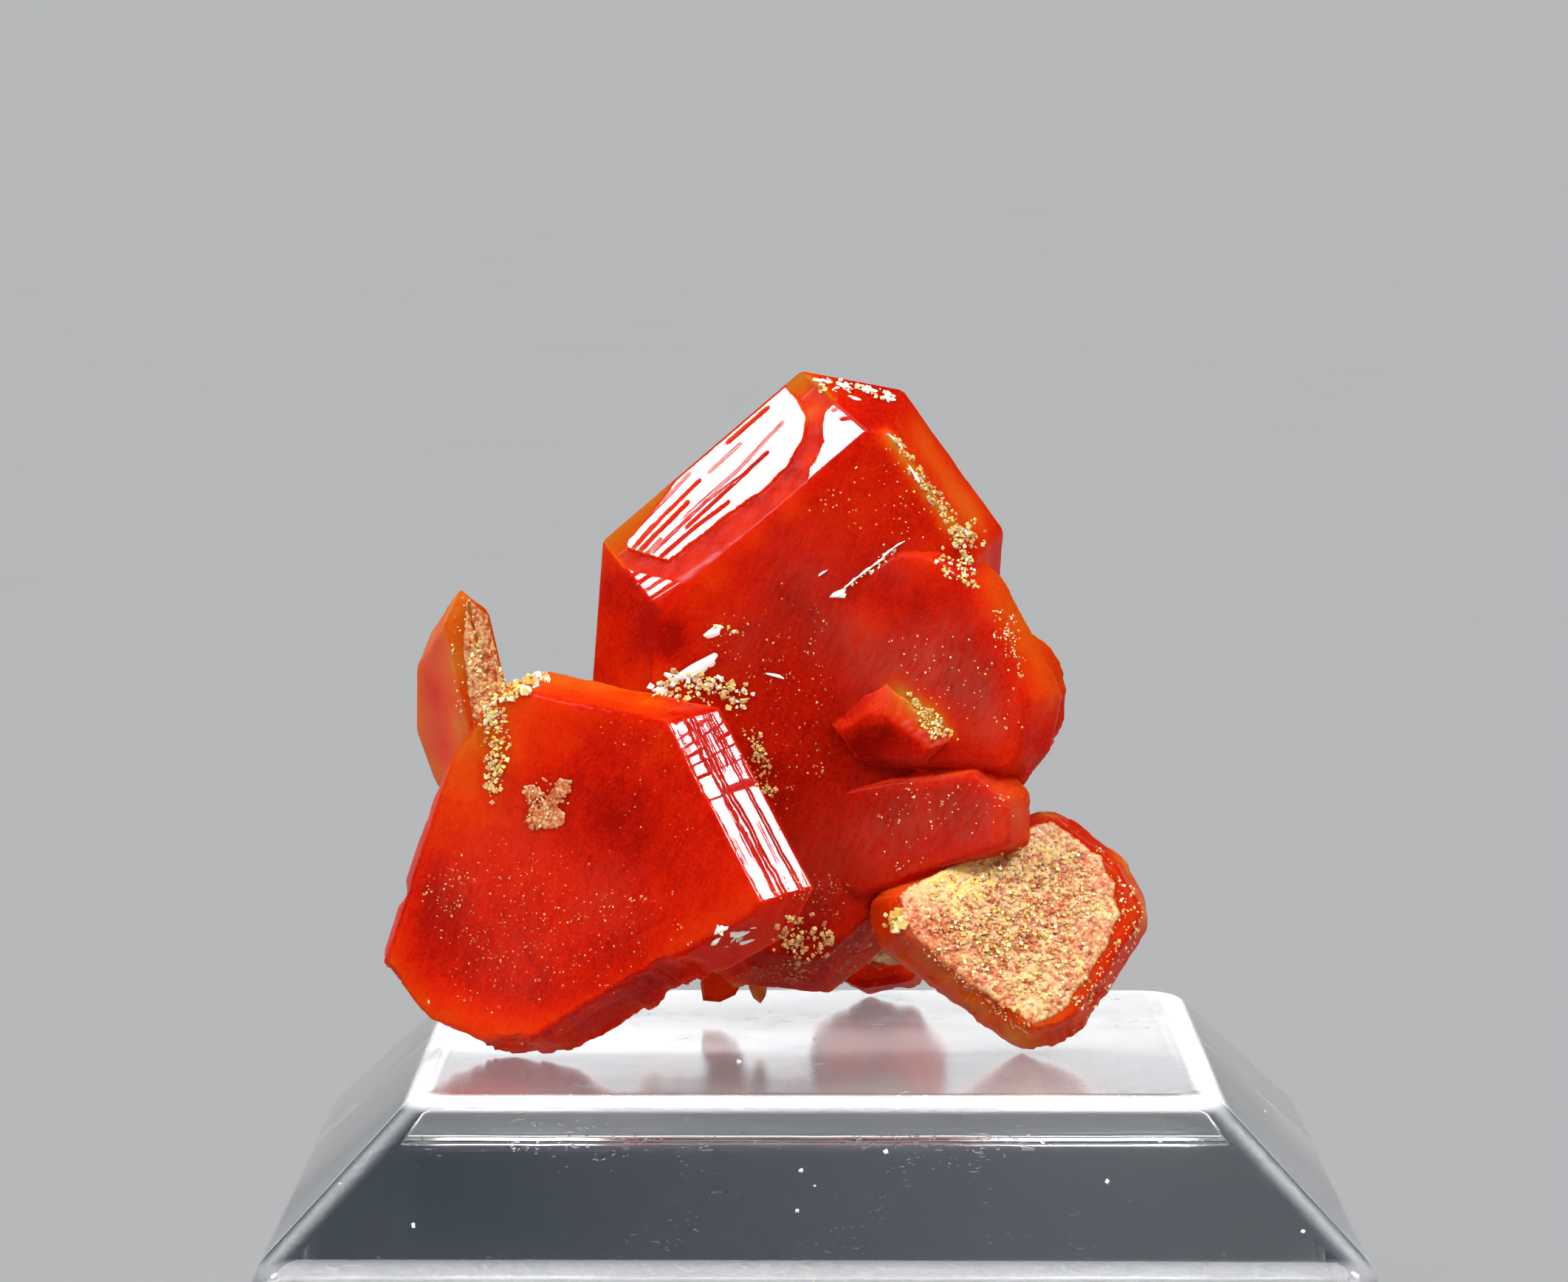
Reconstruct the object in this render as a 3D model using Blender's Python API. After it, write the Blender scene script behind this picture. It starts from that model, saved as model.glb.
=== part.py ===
"""A thumbnail specimen of wulfenite: orange-red tabular crystals grown together
on a remnant of matrix, standing on a clear acrylic block with bevelled sides.

Run with: blender --background --python part.py
Metres, +Z up. The origin is the middle of the block's underside. The crystals'
large faces look towards -Y.
"""

from math import cos, pi, radians, sin

import bmesh
import bpy
from mathutils import Matrix, Vector, noise

MM = 0.001
GAP = 0.3 * MM  # left between pieces that touch

# Acrylic block: a square base, a band of sloping sides and a smaller flat top.
BLOCK_SIDE = 31.75 * MM
BLOCK_HEIGHT = 12.7 * MM
TOP_SIDE = 23.0 * MM
SLOPE_RISE = 4.4 * MM
EDGE_ROUND = 0.6 * MM
CORNER_ROUND = 0.9 * MM
ROUNDING_STEPS = 4

# Matrix remnant behind the crystals.
MATRIX_CENTRE = Vector((-0.9, 4.4, 18.6)) * MM
MATRIX_HALF_SIZE = Vector((5.2, 5.2, 4.6)) * MM
MATRIX_ROUGHNESS = 0.22
MATRIX_LUMP_SIZE = 3.2 * MM

REAR_CRYSTALS = ("rear_left_crystal", "rear_right_crystal")

RED = (0.52, 0.035, 0.006, 1.0)
ORANGE = (0.62, 0.075, 0.008, 1.0)
CRUSTED = (0.50, 0.27, 0.09, 1.0)
TAN = (0.34, 0.22, 0.11, 1.0)
CLEAR = (0.93, 0.95, 0.96, 1.0)

# Each crystal is a plate. Its centre is in mm, and its large face looks "turn"
# degrees to the right of -Y and "lift" degrees up. Each side is given in that
# face's plane: its bearing in degrees from the right, anticlockwise, how far
# the flat face reaches that way, and how far the waist does, both in mm. The waist
# is the edge halfway through the plate where the slopes of a side meet.
CRYSTALS = {
    "main_plate": {
        "centre": (-0.9, -1.6, 23.6), "turn": 4, "lift": -7, "thickness": 4.0,
        "sides": [
            (131, 4.6, 7.0), (79, 8.4, 9.5), (36, 7.0, 8.1), (-3, 5.3, 6.3),
            (-50, 6.7, 8.3), (-96, 7.8, 9.4), (-144, 5.0, 6.8), (176, 4.1, 5.8),
        ],
    },
    "upper_overgrowth": {
        "centre": (3.3, -2.65, 24.5), "turn": -8, "lift": -4, "thickness": 2.6,
        "sides": [
            (128, 3.1, 3.6), (86, 3.3, 3.7), (50, 2.8, 3.5), (27, 2.4, 3.3),
            (-12, 3.4, 4.3), (-42, 4.0, 4.7), (-91, 3.0, 3.6), (-135, 3.2, 3.8), (180, 3.4, 4.0),
        ],
    },
    "side_overgrowth": {
        "centre": (4.6, -2.4, 22.9), "turn": -4, "lift": -5, "thickness": 2.4,
        "sides": [
            (92, 2.0, 2.5), (50, 2.2, 3.2), (20, 1.9, 3.2), (-2, 1.9, 3.0),
            (-34, 1.9, 2.7), (-84, 2.0, 2.6), (-135, 2.2, 2.8), (176, 3.0, 3.6),
        ],
    },
    "middle_overgrowth": {
        "centre": (2.15, -3.25, 22.3), "turn": -16, "lift": -24, "thickness": 1.5,
        "sides": [(48, 0.95, 1.45), (118, 1.1, 1.5), (-38, 1.3, 1.7), (-92, 0.5, 1.05), (-150, 0.9, 1.4)],
    },
    "lower_overgrowth": {
        "centre": (3.2, -2.3, 19.2), "turn": -14, "lift": -6, "thickness": 2.4,
        "sides": [
            (99, 1.9, 2.2), (50, 2.9, 3.3), (1, 3.0, 3.4), (-20, 2.9, 3.25), (-69, 1.0, 1.45),
            (-112, 2.2, 2.8), (178, 3.0, 3.6), (150, 2.7, 3.2),
        ],
    },
    "left_crystal": {
        "centre": (-6.0, -4.2, 18.8), "turn": -25, "lift": 4, "thickness": 3.0,
        "sides": [
            (81, 4.4, 5.0), (32, 4.1, 5.3), (-29, 5.4, 6.1), (-60, 3.9, 4.7), (-84, 5.3, 5.8),
            (-104, 6.3, 6.8), (-137, 7.4, 7.9), (-152, 7.7, 8.2), (161, 5.3, 6.2),
            (147, 5.4, 5.9), (111, 5.4, 5.9),
        ],
    },
    "upper_left_crystal": {
        "centre": (-10.1, -2.3, 23.3), "turn": -64, "lift": -14, "thickness": 1.5,
        "sides": [
            (0, 0.75, 1.05), (60, 2.6, 3.4), (117, 1.95, 2.8), (149, 2.55, 2.95),
            (-162, 3.8, 4.2), (-125, 4.0, 4.4), (-90, 3.3, 3.7),
        ],
    },
    "right_crystal": {
        "centre": (5.3, -2.6, 15.95), "turn": 12, "lift": 20, "thickness": 2.6,
        "sides": [
            (-129, 1.7, 2.1), (-101, 2.65, 3.1), (-68, 3.0, 3.65), (-37, 3.05, 3.75), (5, 4.3, 5.0),
            (24, 4.25, 5.05), (51, 3.9, 4.75), (81, 3.7, 4.4), (114, 2.4, 3.1), (131, 2.9, 3.5),
            (-174, 3.0, 3.6),
        ],
    },
    "rear_left_crystal": {
        "centre": (-4.2, 7.6, 18.4), "turn": 212, "lift": 22, "thickness": 1.8,
        "sides": [
            (0, 1.9, 2.4), (52, 2.2, 2.7), (94, 1.8, 2.3), (140, 2.2, 2.7),
            (180, 1.9, 2.4), (-90, 2.1, 2.6), (-40, 2.4, 2.9),
        ],
    },
    "rear_right_crystal": {
        "centre": (1.9, 9.2, 15.5), "turn": 172, "lift": 12, "thickness": 1.7,
        "sides": [
            (8, 1.6, 2.0), (58, 2.2, 2.7), (110, 2.2, 2.7), (176, 1.9, 2.3),
            (-62, 2.3, 2.7), (-101, 2.3, 2.8), (-140, 2.3, 2.7), (-26, 2.1, 2.6),
        ],
    },
}


def clear_scene():
    for obj in list(bpy.data.objects):
        bpy.data.objects.remove(obj, do_unlink=True)


def new_collection(name):
    collection = bpy.data.collections.new(name)
    bpy.context.scene.collection.children.link(collection)
    return collection


def material(name, colour, roughness, metallic=0.0):
    made = bpy.data.materials.new(name)
    made.use_nodes = True
    shader = made.node_tree.nodes["Principled BSDF"]
    shader.inputs["Base Color"].default_value = colour
    shader.inputs["Roughness"].default_value = roughness
    shader.inputs["Metallic"].default_value = metallic
    made.diffuse_color = colour
    return made


def add_object(name, bm, collection):
    mesh = bpy.data.meshes.new(name)
    bm.to_mesh(mesh)
    bm.free()
    obj = bpy.data.objects.new(name, mesh)
    collection.objects.link(obj)
    return obj


def cut_away(bm, point, normal):
    """Removes what lies beyond the plane through point that faces normal, and closes the cut."""
    everything = bm.verts[:] + bm.edges[:] + bm.faces[:]
    cut = bmesh.ops.bisect_plane(
        bm, geom=everything, plane_co=point, plane_no=normal, clear_outer=True
    )
    rim = [item for item in cut["geom_cut"] if isinstance(item, bmesh.types.BMEdge)]
    if rim:
        bmesh.ops.edgeloop_fill(bm, edges=rim)


def facing(turn, lift):
    """The rotation that takes a plate lying on XY to one whose face looks turn right of -Y, lift up."""
    return Matrix.Rotation(radians(turn), 4, "Z") @ Matrix.Rotation(radians(90 - lift), 4, "X")


def plate(name, collection, grow=0.0):
    """A tabular crystal: what is left of a block once the planes of its faces have cut it.

    grow moves every face outwards, for the shape that keeps a gap to this crystal.
    """
    spec = CRYSTALS[name]
    half = spec["thickness"] * MM / 2
    widest = max(waist for _, _, waist in spec["sides"]) * MM
    bm = bmesh.new()
    bmesh.ops.create_cube(bm, size=1.0)
    block = (4 * widest, 4 * widest, 2 * (half + grow))
    bmesh.ops.scale(bm, vec=block, verts=bm.verts)
    for bearing, face_reach, waist_reach in spec["sides"]:
        outwards = Vector((cos(radians(bearing)), sin(radians(bearing)), 0))
        run = (waist_reach - face_reach) * MM
        for side in (1, -1):
            normal = (outwards * half + Vector((0, 0, side * run))).normalized()
            cut_away(bm, outwards * waist_reach * MM + normal * grow, normal)
    bmesh.ops.transform(bm, matrix=facing(spec["turn"], spec["lift"]), verts=bm.verts)
    bm.normal_update()
    obj = add_object(f"{name} helper" if collection == helpers else name, bm, collection)
    obj.location = Vector(spec["centre"]) * MM
    return obj


def boolean(obj, other, operation):
    """Joins other to obj, or cuts it from obj. The other object stays as a hidden helper.

    EXACT loses the whole crystal on some of these cuts, so they use MANIFOLD.
    """
    modifier = obj.modifiers.new(f"{operation.lower()} {other.name}", "BOOLEAN")
    modifier.operation = operation
    modifier.solver = "MANIFOLD"
    modifier.object = other
    other.hide_render = True
    other.display_type = "WIRE"


def cut_to_clear(obj, *neighbours):
    """Cuts from obj the room that each neighbouring crystal takes, and the gap around it."""
    for name in neighbours:
        boolean(obj, plate(name, helpers, grow=GAP), "DIFFERENCE")


def rounded_profile():
    """The stand's outline from its underside to its top, as (half side, height), its bends rounded."""
    outline = [
        Vector((0, 0)), Vector((BLOCK_SIDE / 2, 0)),
        Vector((BLOCK_SIDE / 2, BLOCK_HEIGHT - SLOPE_RISE)),
        Vector((TOP_SIDE / 2, BLOCK_HEIGHT)), Vector((0, BLOCK_HEIGHT)),
    ]
    profile = []
    for before, bend, after in zip(outline, outline[1:], outline[2:]):
        start = bend + (before - bend).normalized() * EDGE_ROUND
        end = bend + (after - bend).normalized() * EDGE_ROUND
        for step in range(ROUNDING_STEPS + 1):
            t = step / ROUNDING_STEPS
            profile.append(start.lerp(bend, t).lerp(bend.lerp(end, t), t))
    return profile


def rounded_square(bm, half_side, height):
    """A closed ring of edges in bm: a level square with rounded corners."""
    ring = []
    middle = half_side - CORNER_ROUND
    for corner in range(4):
        for step in range(ROUNDING_STEPS + 1):
            angle = (corner + step / ROUNDING_STEPS) * pi / 2
            turned = Matrix.Rotation(corner * pi / 2, 2) @ Vector((middle, middle))
            across = turned + Vector((cos(angle), sin(angle))) * CORNER_ROUND
            ring.append(bm.verts.new((across.x, across.y, height)))
    return [bm.edges.new(pair) for pair in zip(ring, ring[1:] + ring[:1])]


def acrylic_stand(collection):
    """A solid block, its sides sloping in to the top, with polished, rounded edges."""
    bm = bmesh.new()
    rings = [rounded_square(bm, half_side, height) for half_side, height in rounded_profile()]
    for lower, upper in zip(rings, rings[1:]):
        bmesh.ops.bridge_loops(bm, edges=lower + upper)
    for end in (rings[0], rings[-1]):
        bmesh.ops.edgeloop_fill(bm, edges=end)
    bmesh.ops.recalc_face_normals(bm, faces=bm.faces)
    made = add_object("acrylic_stand", bm, collection)
    made.data.shade_smooth()
    return made


def matrix_lump(collection):
    """The rough remnant of host rock that the crystals grew from."""
    bm = bmesh.new()
    bmesh.ops.create_icosphere(bm, subdivisions=4, radius=1.0)
    for vert in bm.verts:
        direction = vert.co.normalized()
        place = direction * MATRIX_HALF_SIZE.x / MATRIX_LUMP_SIZE
        lump = noise.fractal(place, 0.9, 2.1, 3) * MATRIX_ROUGHNESS
        blocky = 1 / max(abs(direction.x), abs(direction.y), abs(direction.z)) ** 0.45
        vert.co = direction * blocky * (1 + lump) * 0.9
    bmesh.ops.scale(bm, vec=MATRIX_HALF_SIZE, verts=bm.verts)
    lump_object = add_object("matrix", bm, collection)
    lump_object.location = MATRIX_CENTRE
    return lump_object


clear_scene()
specimen = new_collection("wulfenite_on_matrix")
helpers = new_collection("cutters")

stand = acrylic_stand(specimen)
stand.data.materials.append(material("clear acrylic", CLEAR, 0.03))

main = plate("main_plate", specimen)
main.name = "main_crystal"
for part in ("upper", "side", "middle", "lower"):
    boolean(main, plate(f"{part}_overgrowth", helpers), "UNION")
cut_to_clear(main, "left_crystal", "right_crystal")
main.data.materials.append(material("red crystal", RED, 0.08))

left = plate("left_crystal", specimen)
cut_to_clear(left, "upper_left_crystal")
left.data.materials.append(material("orange crystal", ORANGE, 0.08))

upper_left = plate("upper_left_crystal", specimen)
upper_left.data.materials.append(material("pink-red crystal", ORANGE, 0.12))

right = plate("right_crystal", specimen)
right.data.materials.append(material("crusted crystal", CRUSTED, 0.5))

matrix = matrix_lump(specimen)
cut_to_clear(matrix, "main_plate", "left_crystal", "right_crystal", *REAR_CRYSTALS)
matrix.data.materials.append(material("tan matrix", TAN, 0.85))

for rear_name in REAR_CRYSTALS:
    rear = plate(rear_name, specimen)
    rear.data.materials.append(material(f"{rear_name} red", RED, 0.15))
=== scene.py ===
"""The looks of a wulfenite thumbnail specimen on its acrylic block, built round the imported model.

Lengths are in millimetres until a mesh is made, and in metres from then on. The photo's
pixels are those of its 2124 x 1736 frame, and a pixel is used only to point: a ray from the
camera through it says where on a crystal a feature lies.
"""

from math import ceil, cos, pi, radians, sin

import bmesh
import bpy
import numpy as np
from mathutils import Matrix, Vector
from mathutils.bvhtree import BVHTree
from mathutils.geometry import delaunay_2d_cdt
from mathutils.kdtree import KDTree

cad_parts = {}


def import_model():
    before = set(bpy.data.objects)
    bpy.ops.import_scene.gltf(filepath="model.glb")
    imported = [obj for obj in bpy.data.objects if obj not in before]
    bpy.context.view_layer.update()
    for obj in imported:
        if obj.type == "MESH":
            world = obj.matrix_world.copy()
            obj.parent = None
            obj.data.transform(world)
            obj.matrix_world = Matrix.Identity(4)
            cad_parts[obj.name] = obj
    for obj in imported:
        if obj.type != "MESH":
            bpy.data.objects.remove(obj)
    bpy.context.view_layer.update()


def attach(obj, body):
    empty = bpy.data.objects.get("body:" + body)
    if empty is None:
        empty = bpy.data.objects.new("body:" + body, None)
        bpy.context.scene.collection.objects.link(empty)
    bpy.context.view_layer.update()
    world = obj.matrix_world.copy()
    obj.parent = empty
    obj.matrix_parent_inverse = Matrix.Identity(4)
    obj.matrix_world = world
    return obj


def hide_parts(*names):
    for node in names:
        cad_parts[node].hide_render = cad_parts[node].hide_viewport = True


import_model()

MM = 0.001
CONTACT_GAP = 0.03  # between two crystals that are grown together
TAU = 2 * pi

# ------------------------------------------------------------------ camera
PHOTO_WIDTH, PHOTO_HEIGHT = 2124, 1736
FOCAL_PIXELS = 8872
SENSOR_WIDTH = 36.0
CAMERA_AT = Vector((-0.158, -197.081, 41.204))
CAMERA_YAW, CAMERA_PITCH = 0.0039, 0.0829

# ---------------------------------------------------------------- crystals
# Each crystal is a plate. Its large face looks "turn" degrees to the right of -Y and "lift"
# degrees up. Each side is given in that face's plane: its bearing in degrees from the right,
# anticlockwise, how far the flat face reaches that way, and how far the waist does.
CRYSTALS = {
    "main_plate": {
        "centre": (-0.9, -1.6, 23.6), "turn": 4, "lift": -7, "thickness": 4.0,
        "sides": [
            (131, 4.6, 7.0), (79, 8.4, 9.5), (36, 7.0, 8.1), (-3, 5.3, 6.3),
            (-50, 6.7, 8.3), (-96, 7.8, 9.4), (-144, 5.0, 6.8), (176, 4.1, 5.8),
        ],
    },
    "upper_overgrowth": {
        "centre": (3.3, -2.65, 24.5), "turn": -8, "lift": -4, "thickness": 2.6,
        "sides": [
            (128, 3.1, 3.6), (86, 3.3, 3.7), (50, 2.8, 3.5), (27, 2.4, 3.3),
            (-12, 3.4, 4.3), (-42, 4.0, 4.7), (-91, 3.0, 3.6), (-135, 3.2, 3.8), (180, 3.4, 4.0),
        ],
    },
    "side_overgrowth": {
        "centre": (4.6, -2.4, 22.9), "turn": -4, "lift": -5, "thickness": 2.4,
        "sides": [
            (92, 2.0, 2.5), (50, 2.2, 3.2), (20, 1.9, 3.2), (-2, 1.9, 3.0),
            (-34, 1.9, 2.7), (-84, 2.0, 2.6), (-135, 2.2, 2.8), (176, 3.0, 3.6),
        ],
    },
    "middle_overgrowth": {
        "centre": (2.15, -3.25, 22.3), "turn": -16, "lift": -24, "thickness": 1.5,
        "sides": [(48, 0.95, 1.45), (118, 1.1, 1.5), (-38, 1.3, 1.7), (-92, 0.5, 1.05), (-150, 0.9, 1.4)],
    },
    "lower_overgrowth": {
        "centre": (3.2, -2.3, 19.2), "turn": -14, "lift": -6, "thickness": 2.4,
        "sides": [
            (99, 1.9, 2.2), (50, 2.9, 3.3), (1, 3.0, 3.4), (-20, 2.9, 3.25), (-69, 1.0, 1.45),
            (-112, 2.2, 2.8), (178, 3.0, 3.6), (150, 2.7, 3.2),
        ],
    },
    "left_crystal": {
        "centre": (-6.0, -4.2, 18.8), "turn": -25, "lift": 4, "thickness": 3.0,
        "sides": [
            (81, 4.4, 5.0), (32, 4.1, 5.3), (-29, 5.4, 6.1), (-60, 3.9, 4.7), (-84, 5.3, 5.8),
            (-104, 6.3, 6.8), (-137, 7.4, 7.9), (-152, 7.7, 8.2), (161, 5.3, 6.2),
            (147, 5.4, 5.9), (111, 5.4, 5.9),
        ],
    },
    "upper_left_crystal": {
        "centre": (-10.1, -2.3, 23.3), "turn": -64, "lift": -14, "thickness": 1.5,
        "sides": [
            (0, 0.75, 1.05), (60, 2.6, 3.4), (117, 1.95, 2.8), (149, 2.55, 2.95),
            (-162, 3.8, 4.2), (-125, 4.0, 4.4), (-90, 3.3, 3.7),
        ],
    },
    "right_crystal": {
        "centre": (5.3, -2.6, 15.95), "turn": 12, "lift": 20, "thickness": 2.6,
        "sides": [
            (-129, 1.88, 2.1), (-101, 2.8, 3.1), (-68, 3.15, 3.65), (-37, 3.2, 3.75), (5, 4.4, 5.0),
            (24, 4.25, 5.05), (51, 3.9, 4.75), (81, 3.7, 4.4), (114, 2.4, 3.1), (131, 2.9, 3.5),
            (-174, 3.0, 3.6),
        ],
    },
    "rear_left_crystal": {
        "centre": (-4.2, 7.6, 18.4), "turn": 212, "lift": 22, "thickness": 1.8,
        "sides": [
            (0, 1.9, 2.4), (52, 2.2, 2.7), (94, 1.8, 2.3), (140, 2.2, 2.7),
            (180, 1.9, 2.4), (-90, 2.1, 2.6), (-40, 2.4, 2.9),
        ],
    },
    "rear_right_crystal": {
        "centre": (1.9, 9.2, 15.5), "turn": 172, "lift": 12, "thickness": 1.7,
        "sides": [
            (8, 1.6, 2.0), (58, 2.2, 2.7), (110, 2.2, 2.7), (176, 1.9, 2.3),
            (-62, 2.3, 2.7), (-101, 2.3, 2.8), (-140, 2.3, 2.7), (-26, 2.1, 2.6),
        ],
    },
}


# ================================================================= helpers
def camera_axes():
    """Right, up and forward of the camera."""
    forward = Vector((
        -sin(CAMERA_YAW) * cos(CAMERA_PITCH), cos(CAMERA_YAW) * cos(CAMERA_PITCH), -sin(CAMERA_PITCH)
    ))
    right = forward.cross(Vector((0, 0, 1))).normalized()
    return right, right.cross(forward), forward


def ray(pixel):
    """The direction from the camera through a pixel of the photo."""
    right, up, forward = camera_axes()
    across = (pixel[0] - PHOTO_WIDTH / 2) / FOCAL_PIXELS
    down = (pixel[1] - PHOTO_HEIGHT / 2) / FOCAL_PIXELS
    return (forward + right * across - up * down).normalized()


def facing(turn, lift):
    """The rotation that takes a plate lying on XY to one whose face looks turn right of -Y, lift up."""
    return Matrix.Rotation(radians(turn), 4, "Z") @ Matrix.Rotation(radians(90 - lift), 4, "X")


def pose(name):
    """The matrix from a plate's own space to the model's, both in millimetres."""
    spec = CRYSTALS[name]
    return Matrix.Translation(Vector(spec["centre"])) @ facing(spec["turn"], spec["lift"])


def in_model(name, points):
    """Points of a plate's own space in the model's, both in millimetres."""
    matrix = np.array(pose(name))
    return points @ matrix[:3, :3].T + matrix[:3, 3]


def smoothstep(low, high, value):
    """0 up to low, 1 from high on, and a smooth rise between them."""
    share = np.clip((value - low) / (high - low), 0.0, 1.0)
    return share * share * (3 - 2 * share)


WAVES = 9  # summed to make a surface uneven


def waves(x, y, length, seed):
    """Smooth unevenness between about -1 and 1, its bumps some length apart."""
    draw = np.random.default_rng(seed)
    total = np.zeros_like(x)
    for _ in range(WAVES):
        angle, stretch, phase = draw.uniform(0, TAU), draw.uniform(0.7, 1.6), draw.uniform(0, TAU)
        total += np.sin((x * cos(angle) + y * sin(angle)) * TAU / (length * stretch) + phase)
    return total / (WAVES / 2)


def segment_distance(points, a, b):
    """How far each point lies from the segment from a to b."""
    share = np.clip((points - a) @ (b - a) / ((b - a) @ (b - a)), 0, 1)
    return np.linalg.norm(points - a - share[:, None] * (b - a), axis=1)


def signed_distance(points, ring):
    """How far inside the ring of corners each point (x, y) lies, negative outside it."""
    x, y = points.T
    nearest = np.full(len(points), np.inf)
    inside = np.zeros(len(points), bool)
    for a, b in zip(ring, np.roll(ring, -1, axis=0)):
        nearest = np.minimum(nearest, segment_distance(points, a, b))
        if a[1] != b[1]:
            crosses = (a[1] > y) != (b[1] > y)
            inside ^= crosses & (x < (b[0] - a[0]) * (y - a[1]) / (b[1] - a[1]) + a[0])
    return np.where(inside, nearest, -nearest)


def add_object(name, data):
    obj = bpy.data.objects.new(name, data)
    bpy.context.scene.collection.objects.link(obj)
    return obj


def new_object(name, points, faces):
    """An object from points in millimetres."""
    mesh = bpy.data.meshes.new(name)
    mesh.from_pydata([tuple(p) for p in np.asarray(points) * MM], [], [tuple(f) for f in faces])
    mesh.validate()
    mesh.update()
    return add_object(name, mesh)


def object_from(name, bm):
    """An object from a bmesh in metres, which is then freed."""
    mesh = bpy.data.meshes.new(name)
    bm.to_mesh(mesh)
    bm.free()
    return add_object(name, mesh)


# ================================================== faceted bodies, finely meshed
def cut_away(bm, point, normal):
    """Removes what lies beyond the plane through point that faces normal, and closes the cut."""
    everything = bm.verts[:] + bm.edges[:] + bm.faces[:]
    cut = bmesh.ops.bisect_plane(
        bm, geom=everything, dist=1e-5, plane_co=point, plane_no=normal, clear_outer=True
    )
    rim = [item for item in cut["geom_cut"] if isinstance(item, bmesh.types.BMEdge)]
    if rim:
        bmesh.ops.edgeloop_fill(bm, edges=rim)


def plate_body(name, grow=0.0):
    """The crystal's plain shape in its own space, in millimetres, as a bmesh."""
    spec = CRYSTALS[name]
    half = spec["thickness"] / 2
    widest = max(waist for _, _, waist in spec["sides"])
    bm = bmesh.new()
    bmesh.ops.create_cube(bm, size=1.0)
    bmesh.ops.scale(bm, vec=(4 * widest, 4 * widest, 2 * (half + grow)), verts=bm.verts)
    for bearing, face_reach, waist_reach in spec["sides"]:
        outwards = Vector((cos(radians(bearing)), sin(radians(bearing)), 0))
        for side in (1, -1):
            normal = (outwards * half + Vector((0, 0, side * (waist_reach - face_reach)))).normalized()
            cut_away(bm, outwards * waist_reach + normal * grow, normal)
    bm.normal_update()
    return bm


class Facet:
    """One flat side of a plate, with its own axes: x along the waist, y up from it."""

    def __init__(self, plate, face):
        spec = CRYSTALS[plate]
        self.plate = plate
        self.normal = face.normal.copy()
        self.front = self.normal.z > 0
        self.flat = abs(self.normal.z) > 0.999
        sign = 1 if self.front else -1
        side = "face"
        if self.flat:
            self.origin = Vector((0, 0, sign * spec["thickness"] / 2))
            self.x, self.y = Vector((1, 0, 0)), Vector((0, 1, 0))
        else:
            toward = np.degrees(np.arctan2(self.normal.y, self.normal.x))
            gaps = [abs((bearing - toward + 180) % 360 - 180) for bearing, _, _ in spec["sides"]]
            side, _, waist = spec["sides"][int(np.argmin(gaps))]
            outwards = Vector((cos(radians(side)), sin(radians(side)), 0))
            self.origin = outwards * waist
            self.x = Vector((-outwards.y, outwards.x, 0))
            self.y = self.normal.cross(self.x) * sign
        self.name = f"{'front' if self.front else 'back'} {side}"

    def flatten(self, points):
        """Points of the plate's space as (x, y) on this facet."""
        away = np.asarray(points) - np.array(self.origin)
        return np.stack([away @ np.array(self.x), away @ np.array(self.y)], axis=-1)

    def lift(self, flat):
        """Points (x, y) on this facet in the plate's space."""
        return np.array(self.origin) + np.outer(flat[:, 0], self.x) + np.outer(flat[:, 1], self.y)

    def pixel(self, pixel):
        """Where the ray through a pixel meets this facet's plane."""
        back = pose(self.plate).inverted()
        eye = back @ CAMERA_AT
        toward = back.to_3x3() @ ray(pixel)
        distance = (self.origin - eye).dot(self.normal) / toward.dot(self.normal)
        return self.flatten([eye + toward * distance])[0]


def facet_named(plate, label):
    """The plate's facet called "front" or "back" and its bearing, or "face"."""
    bm = plate_body(plate)
    found = [Facet(plate, face) for face in bm.faces]
    bm.free()
    return next(facet for facet in found if facet.name == label)


EDGE_STEP = 0.12  # between the points along a plate's edges
EVEN_ROW = 0.866  # the gap between the rows of a net of even triangles, as a share of its step


def lattice(low, high, step, row):
    """Rows of points over a rectangle, every other row set off by half a step."""
    rows = []
    for number, y in enumerate(np.arange(low[1], high[1], row)):
        x = np.arange(low[0] + step / 2 * (number % 2), high[0], step)
        rows.append(np.stack([x, np.full_like(x, y)], axis=1))
    return np.concatenate(rows)


def net_points(facet, outline):
    """Points inside the facet: rows along its waist, or an even net on a large face."""
    step, row = steps(facet)
    (left, bottom), high = outline.min(axis=0), outline.max(axis=0)
    flat = lattice((left, bottom + row * 0.8), high, step, row)
    return flat[signed_distance(flat, outline) > min(step, row) * 0.7]


def filled(flat, count):
    """Triangles between flat points, inside the ring that the first count of them make."""
    result = delaunay_2d_cdt([Vector(p) for p in flat], [], [list(range(count))], 1, 1e-7)
    source = [origin[0] for origin in result[3]]
    return [tuple(source[i] for i in face) for face in result[2]]


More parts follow.
